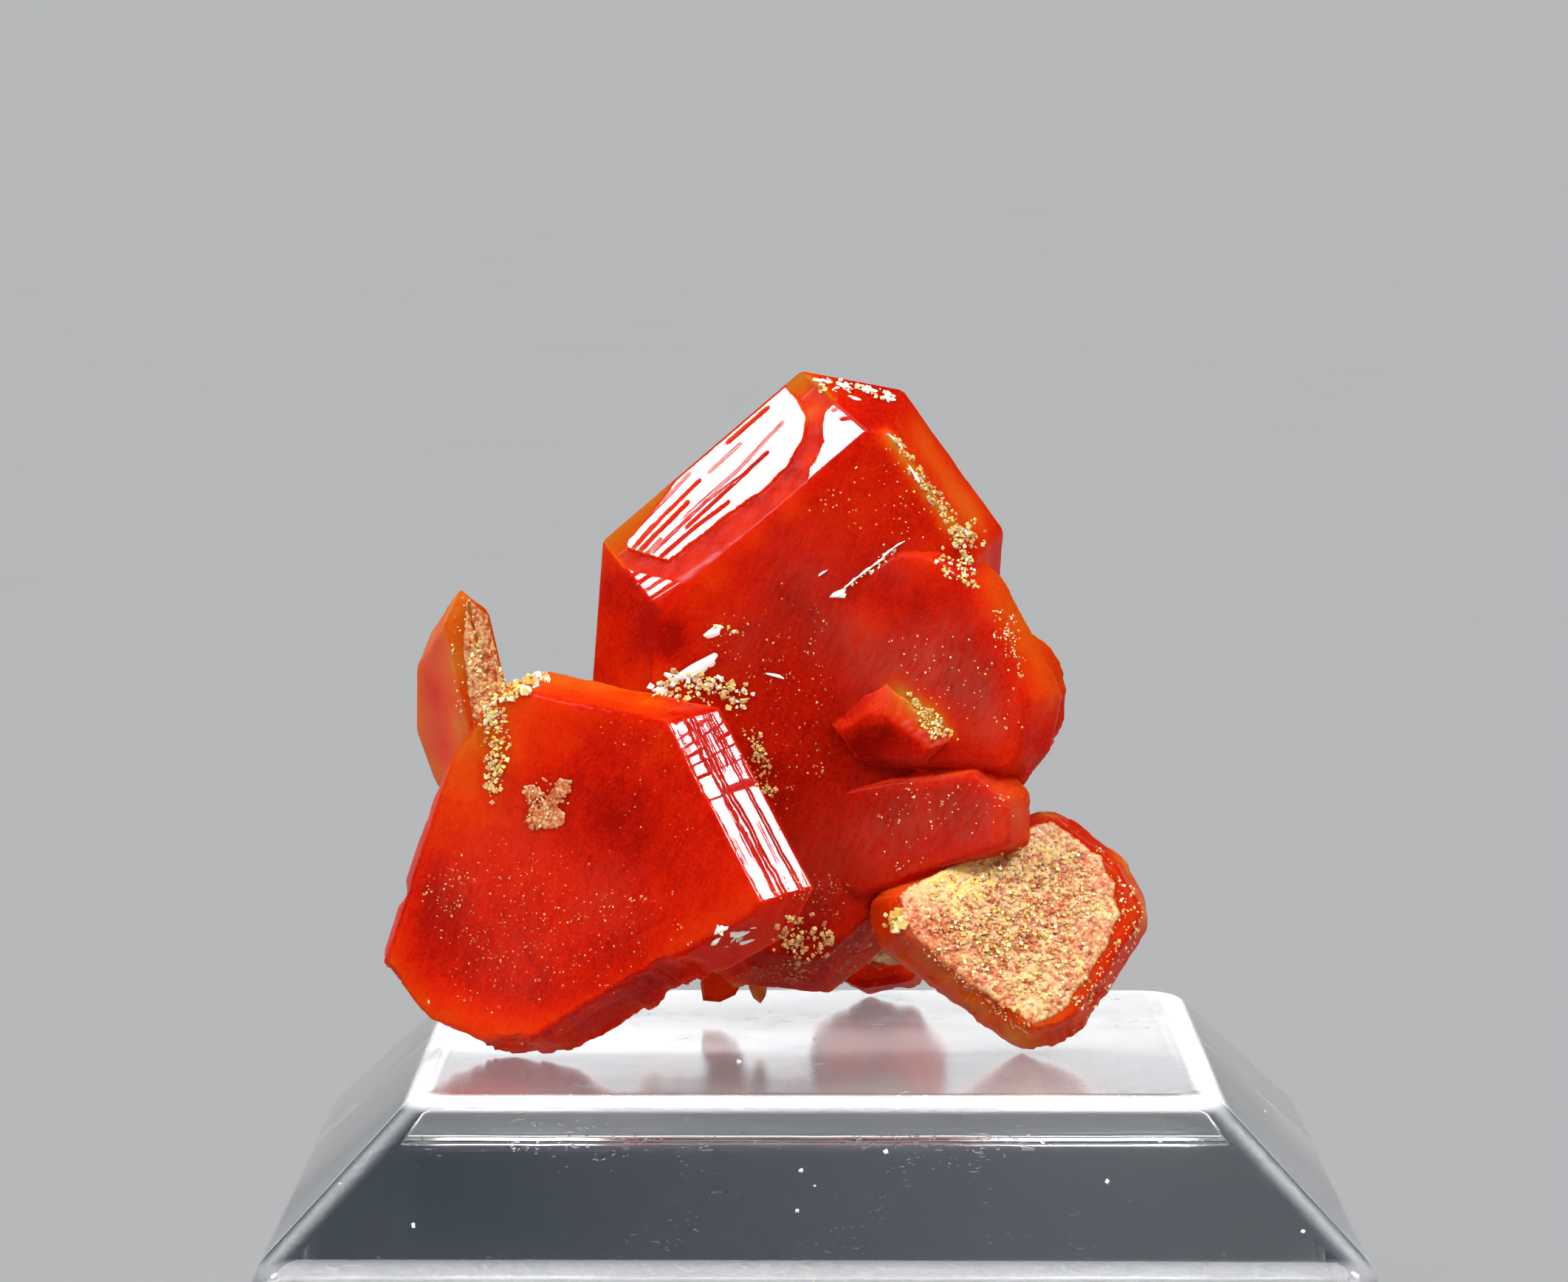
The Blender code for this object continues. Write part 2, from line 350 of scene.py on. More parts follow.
def fine_plate(name):
    """The plate as (points, triangles) in its own space, its facets finely divided."""
    bm = plate_body(name)
    bm.verts.index_update()
    points = [np.array(v.co) for v in bm.verts]
    creases = [
        [np.array(v.co) for v in edge.verts] + [np.array(face.normal) for face in edge.link_faces]
        for edge in bm.edges
    ]
    divided = {}
    for edge in bm.edges:
        a, b = edge.verts
        count = max(1, ceil(edge.calc_length() / EDGE_STEP))
        middle = []
        for number in range(1, count):
            middle.append(len(points))
            points.append(np.array(a.co.lerp(b.co, number / count)))
        divided[(a.index, b.index)] = middle
    triangles = []
    for face in bm.faces:
        facet = Facet(name, face)
        ring = []
        corners = [v.index for v in face.verts]
        for a, b in zip(corners, corners[1:] + corners[:1]):
            middle = divided.get((a, b))
            ring += [a] + (list(reversed(divided[(b, a)])) if middle is None else middle)
        outline = facet.flatten([points[i] for i in corners])
        inside = net_points(facet, outline)
        rim = facet.flatten([points[i] for i in ring])
        numbers = ring + list(range(len(points), len(points) + len(inside)))
        if len(inside):
            height = relief(facet, *inside.T, signed_distance(inside, outline))
            points += list(facet.lift(inside) + np.outer(height, facet.normal))
        for triangle in filled(np.concatenate([rim, inside]), len(rim)):
            tri = [numbers[i] for i in triangle]
            p, q, r = (points[i] for i in tri)
            if np.dot(np.cross(q - p, r - p), np.array(facet.normal)) < 0:
                tri.reverse()
            triangles.append(tri)
    bm.free()
    return worn(name, softened(name, np.array(points), creases)), triangles


# How far from its edges a plate is rounded.
USUAL_ROUNDING = 0.12
ROUNDING = {
    "upper_overgrowth": 0.20, "side_overgrowth": 0.25, "lower_overgrowth": 0.18,
    "left_crystal": 0.10, "upper_left_crystal": 0.10, "right_crystal": 0.20,
}
# The main crystal's edge below its bright bevel: from pixel, to pixel, and how far it is rounded.
SOFT_EDGE = ((885, 827), (1085, 700), 0.55)


def softened(name, points, creases):
    """The points moved in along the plate's edges, as if it were rounded there."""
    usual = ROUNDING.get(name, USUAL_ROUNDING)
    bends = []
    for a, b, first, second in creases:
        quarter_bend = np.arccos(np.clip(first @ second, -1, 1)) / 4
        bends.append((a, b, first + second, usual, np.tan(quarter_bend)))
    if name == "main_plate":
        face, bevel = facet_named(name, "front face"), facet_named(*GLOSSY["main_crystal"])
        first, last, reach = SOFT_EDGE
        a, b = (face.lift(np.array([face.pixel(pixel)]))[0] for pixel in (first, last))
        bends.append((a, b, np.array(face.normal + bevel.normal), reach, 0.15))
    moved = points.copy()
    for a, b, outwards, reach, depth in bends:
        share = np.clip(1 - segment_distance(points, a, b) / reach, 0, 1) ** 2
        moved -= np.outer(share * reach * depth, outwards / np.linalg.norm(outwards))
    return moved


# Where a plate's edge is broken or stepped: from and to which bearing, and how deep.
ALL_ROUND = (-180, 180)
EDGE_WEAR = {
    "main_plate": [(-178, -40, 0.10), (-30, 62, 0.05)],
    "upper_overgrowth": [(*ALL_ROUND, 0.07)],
    "left_crystal": [(-168, -42, 0.42), (60, 178, 0.07), (28, 52, 0.05)],
    "upper_left_crystal": [(*ALL_ROUND, 0.06)],
    "right_crystal": [(-178, -28, 0.24), (-20, 178, 0.09)],
}
USUAL_WEAR = [(*ALL_ROUND, 0.12)]
STEP_HEIGHT = 0.45  # of the growth layers that a worn edge shows
LEVELS = 997  # random levels in the table of steps, enough that none repeat on an edge


def steps_along(way, level, length, seed):
    """Random levels between 0 and 1 that hold for a length and then change at once."""
    table = np.random.default_rng(seed).random(LEVELS)
    place = way / length
    cell = np.floor(place)
    now, after = (table[(cell + ahead + 31 * level).astype(int) % LEVELS] for ahead in (0, 1))
    return now + (after - now) * smoothstep(0.86, 1.0, place - cell)


def worn(name, points):
    """The plate with its edges stepped back, as growth and knocks leave them."""
    seed = sum(map(ord, name))
    x, y, z = points.T
    outside = np.full(len(points), -np.inf)
    for bearing, face_reach, _ in CRYSTALS[name]["sides"]:
        outside = np.maximum(outside, x * cos(radians(bearing)) + y * sin(radians(bearing)) - face_reach)
    radius, angle = np.hypot(x, y), np.arctan2(y, x)
    level = np.floor((z + 0.12 * waves(x, y, 2.0, seed)) / STEP_HEIGHT) + 20
    way = angle * 5.0
    depth = 0.65 * steps_along(way, level, 0.8, seed) + 0.35 * steps_along(way, 0, 0.33, seed + 1)
    bearing = np.degrees(angle)
    amount = np.zeros(len(points))
    for first, last, deepest in EDGE_WEAR.get(name, USUAL_WEAR):
        share = smoothstep(first - 4, first + 2, bearing) * smoothstep(-last - 4, -last + 2, -bearing)
        if (first, last) == ALL_ROUND:
            share = np.ones(len(points))
        amount = np.maximum(amount, deepest * share)
    inwards = amount * depth * smoothstep(-0.45, 0.35, outside) / np.maximum(radius, 0.1)
    return np.stack([x * (1 - inwards), y * (1 - inwards), z], axis=1)


# ========================================================= relief on the facets
def groove(x, y, start, end, width, depth):
    """A V-shaped groove from start to end, fading towards its ends. Points are (x, y)."""
    start, end = np.asarray(start, float), np.asarray(end, float)
    length = np.linalg.norm(end - start)
    along = (end - start) / length
    t = ((x - start[0]) * along[0] + (y - start[1]) * along[1]) / length
    across = np.abs((y - start[1]) * along[0] - (x - start[0]) * along[1])
    taper = np.clip(np.minimum(t, 1 - t) * 6, 0, 1)
    return -depth * np.clip(1 - across / (width * np.maximum(taper, 0.2)), 0, 1) * (taper > 0)


def curve_groove(x, y, line, width, slope):
    """A V-shaped groove along a line of (x, y) points, its two flanks as steep as slope."""
    points = np.stack([x, y], axis=1)
    nearest = np.min([segment_distance(points, a, b) for a, b in zip(line, line[1:])], axis=0)
    return -slope * np.clip(width - nearest, 0, None)


def striae(x, y, seed, count, length, width, depth, lean=0.02):
    """Fine grooves along a bevel, nearly parallel to the waist, of many lengths."""
    draw = np.random.default_rng(seed)
    total = np.zeros_like(x)
    low, high = y.min(), y.max()
    for _ in range(count):
        middle = draw.uniform(x.min(), x.max())
        half = length * draw.uniform(0.3, 1.0) / 2
        height = draw.uniform(low, high)
        tilt = draw.normal(0, lean)
        total = np.minimum(total, groove(
            x, y, (middle - half, height - half * tilt), (middle + half, height + half * tilt),
            width * draw.uniform(0.5, 1.3), depth * draw.uniform(0.4, 1.0),
        ))
    return total


def scratches(x, y, seed, count, length, width=0.05, depth=0.012):
    """Short straight scratches in all directions."""
    draw = np.random.default_rng(seed)
    total = np.zeros_like(x)
    for _ in range(count):
        start = np.array([draw.uniform(x.min(), x.max()), draw.uniform(y.min(), y.max())])
        angle, size = draw.uniform(0, TAU), length * draw.uniform(0.3, 1.0)
        end = start + size * np.array([cos(angle), sin(angle)])
        total = np.minimum(total, groove(x, y, start, end, width, depth * draw.uniform(0.4, 1)))
    return total


def terraces(edge, x, y, seed, spacing, height):
    """Low growth steps that follow the outline, like a stack of ever smaller plates."""
    wander = waves(x, y, 3.0, seed) * spacing * 0.35
    level = (edge + wander) / spacing
    step = np.floor(level)
    rise = smoothstep(0.80, 1.0, level - step)
    return (step + rise) * height


# The parts of the main crystal's upper left bevel that lie true and mirror the light.
MIRROR_PATCHES = [
    [
        (1054, 518), (1001, 556), (953, 597), (929, 628), (900, 671), (876, 700), (850, 731), (847, 742),
        (864, 748), (905, 760), (943, 731), (992, 692), (1035, 663), (1069, 630), (1074, 618), (1088, 596),
        (1093, 567), (1083, 543), (1069, 528), (1062, 516),
    ],
    [
        (1141, 533), (1117, 557), (1112, 576), (1115, 596), (1105, 620), (1095, 634), (1093, 654),
        (1078, 675), (1096, 690), (1215, 590), (1194, 565), (1180, 548), (1165, 538),
    ],
    [(826, 763), (928, 790), (884, 835), (856, 798)],
]
# Its dark growth lines, bold at the lower left.
PATCH_LINES = [
    [(850, 728), (905, 672), (935, 640)], [(858, 742), (900, 697), (948, 650)], [(868, 744), (932, 680)],
    [(884, 748), (958, 677), (1012, 640)], [(895, 754), (940, 715), (987, 680)],
    [(925, 702), (1000, 636), (1060, 572)], [(930, 714), (992, 657), (1040, 612)], [(862, 738), (884, 712)],
    [(876, 750), (895, 730)], [(985, 600), (1040, 552)], [(960, 640), (1004, 600)],
    [(846, 786), (872, 770)], [(854, 797), (890, 772)], [(862, 808), (906, 779)], [(870, 818), (922, 785)],
    [(1128, 556), (1146, 546), (1160, 549)], [(1140, 568), (1166, 562)], [(1112, 640), (1126, 628)],
]
PATCH_TILT = 0.09  # the slope of what lies between them


def pixel_lines(facet, lines, x, y, width, slope):
    """Grooves in a facet along lines of pixels."""
    total = np.zeros_like(x)
    for number, line in enumerate(lines):
        wide = width * (0.7 + 0.6 * (number * 7 % 5) / 4)
        total = np.minimum(total, curve_groove(x, y, [facet.pixel(p) for p in line], wide, slope))
    return total


def in_patches(facet, x, y, ragged=0.0):
    """Whether each point of the facet lies in one of the true patches."""
    found = np.zeros_like(x)
    for ring in MIRROR_PATCHES:
        inside = signed_distance(np.stack([x, y], axis=1), np.array([facet.pixel(p) for p in ring]))
        found = np.maximum(found, smoothstep(-0.02, 0.02, inside + ragged))
    return found


def mirror_bevel(facet, x, y, seed):
    """A bevel whose flat patches stand a little above a tilted ground."""
    true = in_patches(facet, x, y, 0.02 * waves(x, y, 0.4, seed))
    ground = -PATCH_TILT * (y.max() - y) * smoothstep(0.0, 0.7, y) + 0.005 * waves(x, y, 0.7, seed + 3)
    lower_left = smoothstep(-2.0, 2.0, x) * smoothstep(0.3, 1.2, y)
    lines = striae(x, y, seed, 40, 2.4, 0.030, 0.016, 0.02) * np.maximum(lower_left, 0.06)
    lines = np.minimum(lines, pixel_lines(facet, PATCH_LINES, x, y, 0.032, 0.6))
    return true * lines + (1 - true) * ground


# The true bands along the left crystal's right bevel, as shares of its width from the waist
BEVEL_BANDS = [(0.02, 0.22), (0.27, 0.50), (0.57, 0.64), (0.68, 0.93)]


def banded_bevel(x, y, seed):
    """A bevel made of long steps: true bands that mirror the light, and tilted ones between."""
    across = y / y.max() + 0.022 * waves(x, y * 0.2, 2.2, seed) + 0.012 * waves(x, y, 0.5, seed + 1)
    tilted = np.ones_like(x)
    for start, end in BEVEL_BANDS:
        tilted *= 1 - smoothstep(start - 0.01, start, across) * (1 - smoothstep(end, end + 0.01, across))
    ground = 0.03 + 0.13 * (y - 0.5 * y.max()) + 0.01 * waves(x, y, 0.6, seed + 2)
    lines = striae(x, y, seed, 22, 2.6, 0.028, 0.014, 0.012)
    return (1 - tilted) * lines + tilted * 0.35 * ground


# Short growth lines and scratches on the large faces.
FACE_LINES = {
    "main_plate": [
        [(1052, 742), (1048, 706)], [(1086, 700), (1080, 746)], [(1100, 640), (1094, 690)],
        [(1040, 650), (1030, 690)], [(1076, 640), (1070, 672)], [(985, 800), (1010, 760)],
        [(1000, 845), (1030, 800)], [(1060, 1180), (1085, 1130)], [(1095, 1120), (1110, 1080)],
        [(1020, 900), (1050, 930)], [(1075, 830), (1100, 800)],
    ],
    "upper_overgrowth": [
        [(1122, 892), (1140, 934)], [(1132, 886), (1150, 928)], [(1142, 882), (1160, 920)],
        [(1152, 880), (1166, 905)], [(1240, 820), (1300, 850)], [(1200, 860), (1230, 905)],
        [(1310, 905), (1360, 960)],
    ],
    "lower_overgrowth": [
        [(1180, 1082), (1202, 1114)], [(1192, 1076), (1214, 1108)], [(1204, 1074), (1228, 1104)],
        [(1290, 1120), (1350, 1085)],
    ],
    "left_crystal": [
        [(752, 1232), (800, 1262), (832, 1300)], [(765, 1250), (790, 1285)],
        [(700, 1270), (735, 1330), (765, 1400)], [(690, 1330), (725, 1300)], [(712, 1395), (722, 1340)],
        [(800, 1180), (860, 1220)], [(620, 1180), (650, 1235)], [(850, 1275), (905, 1245)],
        [(640, 1120), (700, 1160)], [(905, 1110), (960, 1190)],
    ],
}


TERRACE_TOP = 0.3  # how far the terraces on the back faces may rise
# The facets that still have their full lustre: node to (plate, facet).
GLOSSY = {"main_crystal": ("main_plate", "front 131"), "left_crystal": ("left_crystal", "front 32")}


def relief(facet, x, y, edge):
    """How far the points of a facet stand out from it. edge is how far each is from its rim."""
    seed = sum(map(ord, facet.plate + facet.name))
    fade = smoothstep(0.0, 0.15, edge)
    if facet.flat and not facet.front:
        height = terraces(edge, x, y, seed, 0.8, 0.05) + 0.03 * waves(x, y, 2.0, seed)
        height = np.minimum(height, TERRACE_TOP) * smoothstep(0.0, 0.5, edge)
        return height + scratches(x, y, seed + 2, 30, 1.6) * fade
    if facet.flat:
        height = 0.02 * waves(x, y, 5.0, seed) + 0.006 * waves(x, y, 1.3, seed + 1)
        height += scratches(x, y, seed + 2, 26, 1.4)
        height += pixel_lines(facet, FACE_LINES.get(facet.plate, []), x, y, 0.07, 0.3)
        return height * fade
    if (facet.plate, facet.name) == GLOSSY["main_crystal"]:
        return mirror_bevel(facet, x, y, seed) * smoothstep(0.0, 0.08, edge)
    if (facet.plate, facet.name) == GLOSSY["left_crystal"]:
        return banded_bevel(x, y, seed) * smoothstep(0.0, 0.08, edge)
    height = striae(x, y, seed, 34, 3.0, 0.05, 0.02) + 0.015 * waves(x * 0.5, y, 0.9, seed)
    return height * fade


def steps(facet):
    """How far apart a facet's points are: along it, and from row to row."""
    if facet.name in [label for _, label in GLOSSY.values()]:
        return 0.06, 0.022
    if facet.flat:
        step = 0.11 if facet.front else 0.18
        return step, step * EVEN_ROW
    return (0.14, 0.06) if facet.front else (0.3, 0.12)


# ============================================================= crystals as pieces
def crystal(name):
    points, triangles = fine_plate(name)
    return new_object(name, in_model(name, points), triangles)


def plain(name, grow):
    """The plain plate, each face moved out by grow, as a cutter for its neighbours."""
    bm = plate_body(name, grow)
    bm.verts.index_update()
    matrix = pose(name)
    points = [matrix @ v.co for v in bm.verts]
    faces = [[v.index for v in face.verts] for face in bm.faces]
    bm.free()
    return new_object(f"{name}_cutter", points, faces)


def combine(obj, others, operation):
    """Joins the others to obj, or cuts them from it, and removes them."""
    for other in others:
        modifier = obj.modifiers.new(operation, "BOOLEAN")
        modifier.operation = operation
        modifier.solver = "MANIFOLD"
        modifier.object = other
    bpy.context.view_layer.update()
    made = bpy.data.meshes.new_from_object(obj.evaluated_get(bpy.context.evaluated_depsgraph_get()))
    obj.modifiers.clear()
    made.materials.clear()
    obj.data = made
    for other in others:
        bpy.data.objects.remove(other, do_unlink=True)
    return obj


def finish_shading(obj, angle=28):
    obj.data.shade_smooth()
    obj.data.set_sharp_from_angle(angle=radians(angle))


main = crystal("main_plate")
main.name = "main_crystal_body"
combine(main, [crystal(f"{part}_overgrowth") for part in ("upper", "side", "middle", "lower")], "UNION")
combine(main, [plain("left_crystal", CONTACT_GAP), plain("right_crystal", CONTACT_GAP)], "DIFFERENCE")
left = crystal("left_crystal")
combine(left, [plain("upper_left_crystal", CONTACT_GAP)], "DIFFERENCE")
upper_left = crystal("upper_left_crystal")
right = crystal("right_crystal")
rear_left, rear_right = crystal("rear_left_crystal"), crystal("rear_right_crystal")
crystals = {
    "main_crystal": main, "left_crystal": left, "upper_left_crystal": upper_left,
    "right_crystal": right, "rear_left_crystal": rear_left, "rear_right_crystal": rear_right,
}
for node, obj in crystals.items():
    finish_shading(obj)


# ================================================================= the stand
BLOCK_SIDE, BLOCK_HEIGHT, TOP_SIDE, SLOPE_RISE = 31.75, 12.7, 23.0, 4.4
EDGE_ROUND, CORNER_ROUND = 0.6, 0.9
ROUNDING_STEPS = 10
TOP_WEAR = 0.1  # how frosted the top is, when its front edge is 1


def rounded_profile():
    """The stand's outline from its underside to its top, as (half side, height), its bends rounded."""
    outline = [
        Vector((0, 0)), Vector((BLOCK_SIDE / 2, 0)), Vector((BLOCK_SIDE / 2, BLOCK_HEIGHT - SLOPE_RISE)),
        Vector((TOP_SIDE / 2, BLOCK_HEIGHT)), Vector((0, BLOCK_HEIGHT)),
    ]
    profile = []
    for before, bend, after in zip(outline, outline[1:], outline[2:]):
        start = bend + (before - bend).normalized() * EDGE_ROUND
        end = bend + (after - bend).normalized() * EDGE_ROUND
        for step in range(ROUNDING_STEPS + 1):
            t = step / ROUNDING_STEPS
            profile.append(start.lerp(bend, t).lerp(bend.lerp(end, t), t))
    return profile


def rounded_square(bm, half_side, height):
    """A closed ring of edges in bm: a level square with rounded corners."""
    ring = []
    middle = half_side - CORNER_ROUND
    for corner in range(4):
        for step in range(ROUNDING_STEPS + 1):
            angle = (corner + step / ROUNDING_STEPS) * pi / 2
            turned = Matrix.Rotation(corner * pi / 2, 2) @ Vector((middle, middle))
            across = turned + Vector((cos(angle), sin(angle))) * CORNER_ROUND
            ring.append(bm.verts.new((across.x, across.y, height)))
    return [bm.edges.new(pair) for pair in zip(ring, ring[1:] + ring[:1])]


def acrylic_stand():
    bm = bmesh.new()
    rings = [rounded_square(bm, half_side, height) for half_side, height in rounded_profile()]
    for lower, upper in zip(rings, rings[1:]):
        bmesh.ops.bridge_loops(bm, edges=lower + upper)
    for end in (rings[0], rings[-1]):
        bmesh.ops.edgeloop_fill(bm, edges=end)
    bmesh.ops.recalc_face_normals(bm, faces=bm.faces)
    bmesh.ops.scale(bm, vec=(MM, MM, MM), verts=bm.verts)
    obj = object_from("acrylic_stand_body", bm)
    obj.data.shade_smooth()
    bend = np.sin(pi * np.arange(ROUNDING_STEPS + 1) / ROUNDING_STEPS)
    level = np.concatenate([0.1 * bend, 0.4 * bend, np.append(bend[:-1], TOP_WEAR)])[:, None]
    corner = 0.3 * np.tile(bend ** 4, 4)[None]
    store(obj, "edge", np.maximum(level, corner).ravel())
    top = np.zeros((3 * len(bend), 4 * len(bend)))
    top[-1] = 1.0
    store(obj, "top", top.ravel())
    return obj


# ================================================================= materials
class Nodes:
    """The node tree of a material or a world, with short ways to add and join nodes."""

    def __init__(self, owner):
        self.owner = owner
        owner.use_nodes = True
        self.tree = owner.node_tree
        self.coordinates = self.add("ShaderNodeTexCoord").outputs
        self.place = self.coordinates["Object"]

    def add(self, kind, inputs=(), **settings):
        node = self.tree.nodes.new(kind)
        for setting, value in settings.items():
            setattr(node, setting, value)
        for socket, value in dict(inputs).items():
            self.set(node.inputs[socket], value)
        return node

    def set(self, socket, value):
        if isinstance(value, bpy.types.NodeSocket):
            self.tree.links.new(value, socket)
        else:
            socket.default_value = value

    def attribute(self, name):
        """What store() left on the vertices."""
        return self.add("ShaderNodeAttribute", attribute_name=name).outputs["Fac"]

    def drawn_out(self, rotation, scale):
        """The place, turned and scaled, so that a texture's marks come out long."""
        made = self.add("ShaderNodeMapping", {
            "Vector": self.place, "Rotation": rotation, "Scale": scale,
        }, vector_type="TEXTURE")
        return made.outputs[0]

    def noise(self, scale, detail=3.0, roughness=0.5, place=None):
        """Noise between 0 and 1, its scale in bumps per millimetre."""
        made = self.add("ShaderNodeTexNoise", {
            "Vector": place or self.place, "Scale": scale / MM, "Detail": detail, "Roughness": roughness,
        })
        return made.outputs["Fac"]

    def ramp(self, factor, stops):
        """A colour or grey ramp; stops are (place, colour)."""
        made = self.add("ShaderNodeValToRGB", {"Fac": factor})
        elements = made.color_ramp.elements
        while len(elements) < len(stops):
            elements.new(0.5)
        for element, (position, colour) in zip(elements, stops):
            element.position = position
            element.color = colour if len(colour) == 4 else (*colour, 1.0)
        return made.outputs["Color"]

    def greys(self, factor, low, high, dark=0.0, light=1.0):
        """Grey that goes from dark to light while the factor goes from low to high."""
        return self.ramp(factor, [(low, (dark,) * 3), (high, (light,) * 3)])

    def mix(self, factor, first, second, blend="MIX"):
        made = self.add("ShaderNodeMix", data_type="RGBA", blend_type=blend)
        self.set(made.inputs["Factor"], factor)
        self.set(made.inputs[6], first)
        self.set(made.inputs[7], second)
        return made.outputs[2]

    def math(self, operation, first, second=0.0):
        made = self.add("ShaderNodeMath", operation=operation)
        self.set(made.inputs[0], first)
        self.set(made.inputs[1], second)
        return made.outputs[0]

    def plus(self, value, factor, share):
        """value + factor * share."""
        return self.math("ADD", value, self.math("MULTIPLY", factor, share))

    def bump(self, height, distance, strength=1.0, after=None):
        """distance is the height of the bumps in millimetres."""
        made = self.add("ShaderNodeBump", {
            "Height": height, "Distance": distance * MM, "Strength": strength,
        })
        if after is not None:
            self.set(made.inputs["Normal"], after)
        return made.outputs["Normal"]

    def absorb(self, colour, density):
        """Fills the piece with a medium that takes up light. density is per metre."""
        medium = self.add("ShaderNodeVolumeAbsorption", {"Color": colour, "Density": density})
        self.set(self.tree.nodes["Material Output"].inputs["Volume"], medium.outputs[0])

    def finish(self, **inputs):
        """Sets the shader's sockets, their names with _ for a space, and returns the material."""
        for socket, value in inputs.items():
            self.set(self.tree.nodes["Principled BSDF"].inputs[socket.replace("_", " ")], value)
        return self.owner


def new_material(name):
    return Nodes(bpy.data.materials.new(name))


def crystal_material():
    """Red to orange by how thin the crystal is and by painted glow and painted shade, with veils and specks
    in it and a hatched painted sheen.
    """
    nodes = new_material("wulfenite")
    veils = nodes.drawn_out((0.0, 0.45, 0.0), (0.38, 0.38, 1.8))
    # The colour's factor: the crystal's thinness plus painted glow and painted shade spots.
    tone = nodes.attribute("thin")
    for scale, detail, amount, place in (
        (0.40, 3.0, 0.22, nodes.place), (1.7, 4.0, 0.14, nodes.place), (0.9, 3.0, 0.10, veils),
        (4.5, 3.0, 0.16, veils), (10.0, 2.0, 0.26, nodes.place),
    ):
        cloud = nodes.noise(scale, detail, 0.6, place)
        tone = nodes.plus(tone, nodes.math("SUBTRACT", cloud, 0.5), amount)
    body = nodes.ramp(tone, [
        (0.0, (0.42, 0.004, 0.001)), (0.13, (0.74, 0.013, 0.001)), (0.30, (0.90, 0.052, 0.002)),
        (0.50, (0.93, 0.13, 0.005)), (0.72, (0.84, 0.25, 0.014)), (0.90, (0.90, 0.38, 0.04)),
        (1.0, (1.0, 0.56, 0.09)),
    ])
    specks = nodes.greys(nodes.noise(9.0, 2.0), 0.70, 0.76)
    body = nodes.mix(nodes.math("MULTIPLY", specks, 0.25), body, (1.0, 0.22, 0.03, 1.0))
    # A painted sheen: pinkish white laid over the colour in hatched streaks where the painted sheen spots
    # are.
    hatch = nodes.greys(nodes.noise(3.0, 4.0, 0.6, veils), 0.35, 0.60, dark=0.25)
    painted_sheen_share = nodes.math("MULTIPLY", nodes.attribute("frost"), hatch)
    body = nodes.mix(painted_sheen_share, body, (0.62, 0.115, 0.075, 1.0))
    coat = nodes.plus(0.012, nodes.attribute("lustre"), 0.22)
    fine = nodes.bump(nodes.noise(6.0, 3.0), 0.003, 0.12)
    nodes.absorb((1.0, 0.30, 0.10, 1.0), 120.0)
    return nodes.finish(
        Base_Color=body, Roughness=0.30, IOR=1.5, Transmission_Weight=0.5, Normal=fine,
        Coat_Weight=coat, Coat_Roughness=0.03, Coat_IOR=1.5, Specular_IOR_Level=0.0,
        Specular_Tint=(0.1, 0.1, 0.1, 1.0), Subsurface_Weight=1.0,
        Subsurface_Radius=(1.0, 0.25, 0.08), Subsurface_Scale=1.0 * MM,
    )


def acrylic_material():
    """Clear, with hair scratches where it is worn, and frosted along its edges."""
    nodes = new_material("clear acrylic")
    marks = 0.0
    for turn, length in ((0.5, 1.2), (2.1, 0.8), (1.2, 1.6)):
        turned = nodes.drawn_out((turn, 0.7 * turn, turn), (MM * length, MM * length / 16, MM * length / 16))
        streak = nodes.add("ShaderNodeTexNoise", {"Vector": turned, "Scale": 0.35, "Detail": 1.0})
        marks = nodes.math("MAXIMUM", marks, nodes.greys(streak.outputs["Fac"], 0.68, 0.71))
    wear = nodes.greys(nodes.noise(0.35, 4.0, 0.6), 0.50, 0.75)
    marks = nodes.math("MULTIPLY", marks, wear)
    edge = nodes.attribute("edge")
    rough = nodes.math("MULTIPLY", marks, 0.2)
    for factor, share in ((wear, 0.02), (edge, 0.35), (nodes.attribute("top"), 0.11)):
        rough = nodes.plus(rough, factor, share)
    fine = nodes.bump(marks, 0.004, 0.6, after=nodes.bump(nodes.noise(0.25, 2.0), 0.02, 0.3))
    nodes.absorb((0.80, 0.92, 0.95, 1.0), 3.0)
    return nodes.finish(
        Base_Color=(0.99, 0.995, 1.0, 1.0), Roughness=rough, IOR=1.49,
        Transmission_Weight=nodes.plus(1.0, edge, -0.45), Normal=fine,
    )


def floor_material():
    nodes = new_material("pale floor")
    tone = nodes.ramp(nodes.noise(0.02, 3.0), [(0.3, (0.78, 0.78, 0.776)), (0.7, (0.792, 0.792, 0.788))])
    return nodes.finish(Base_Color=tone, Roughness=0.9)
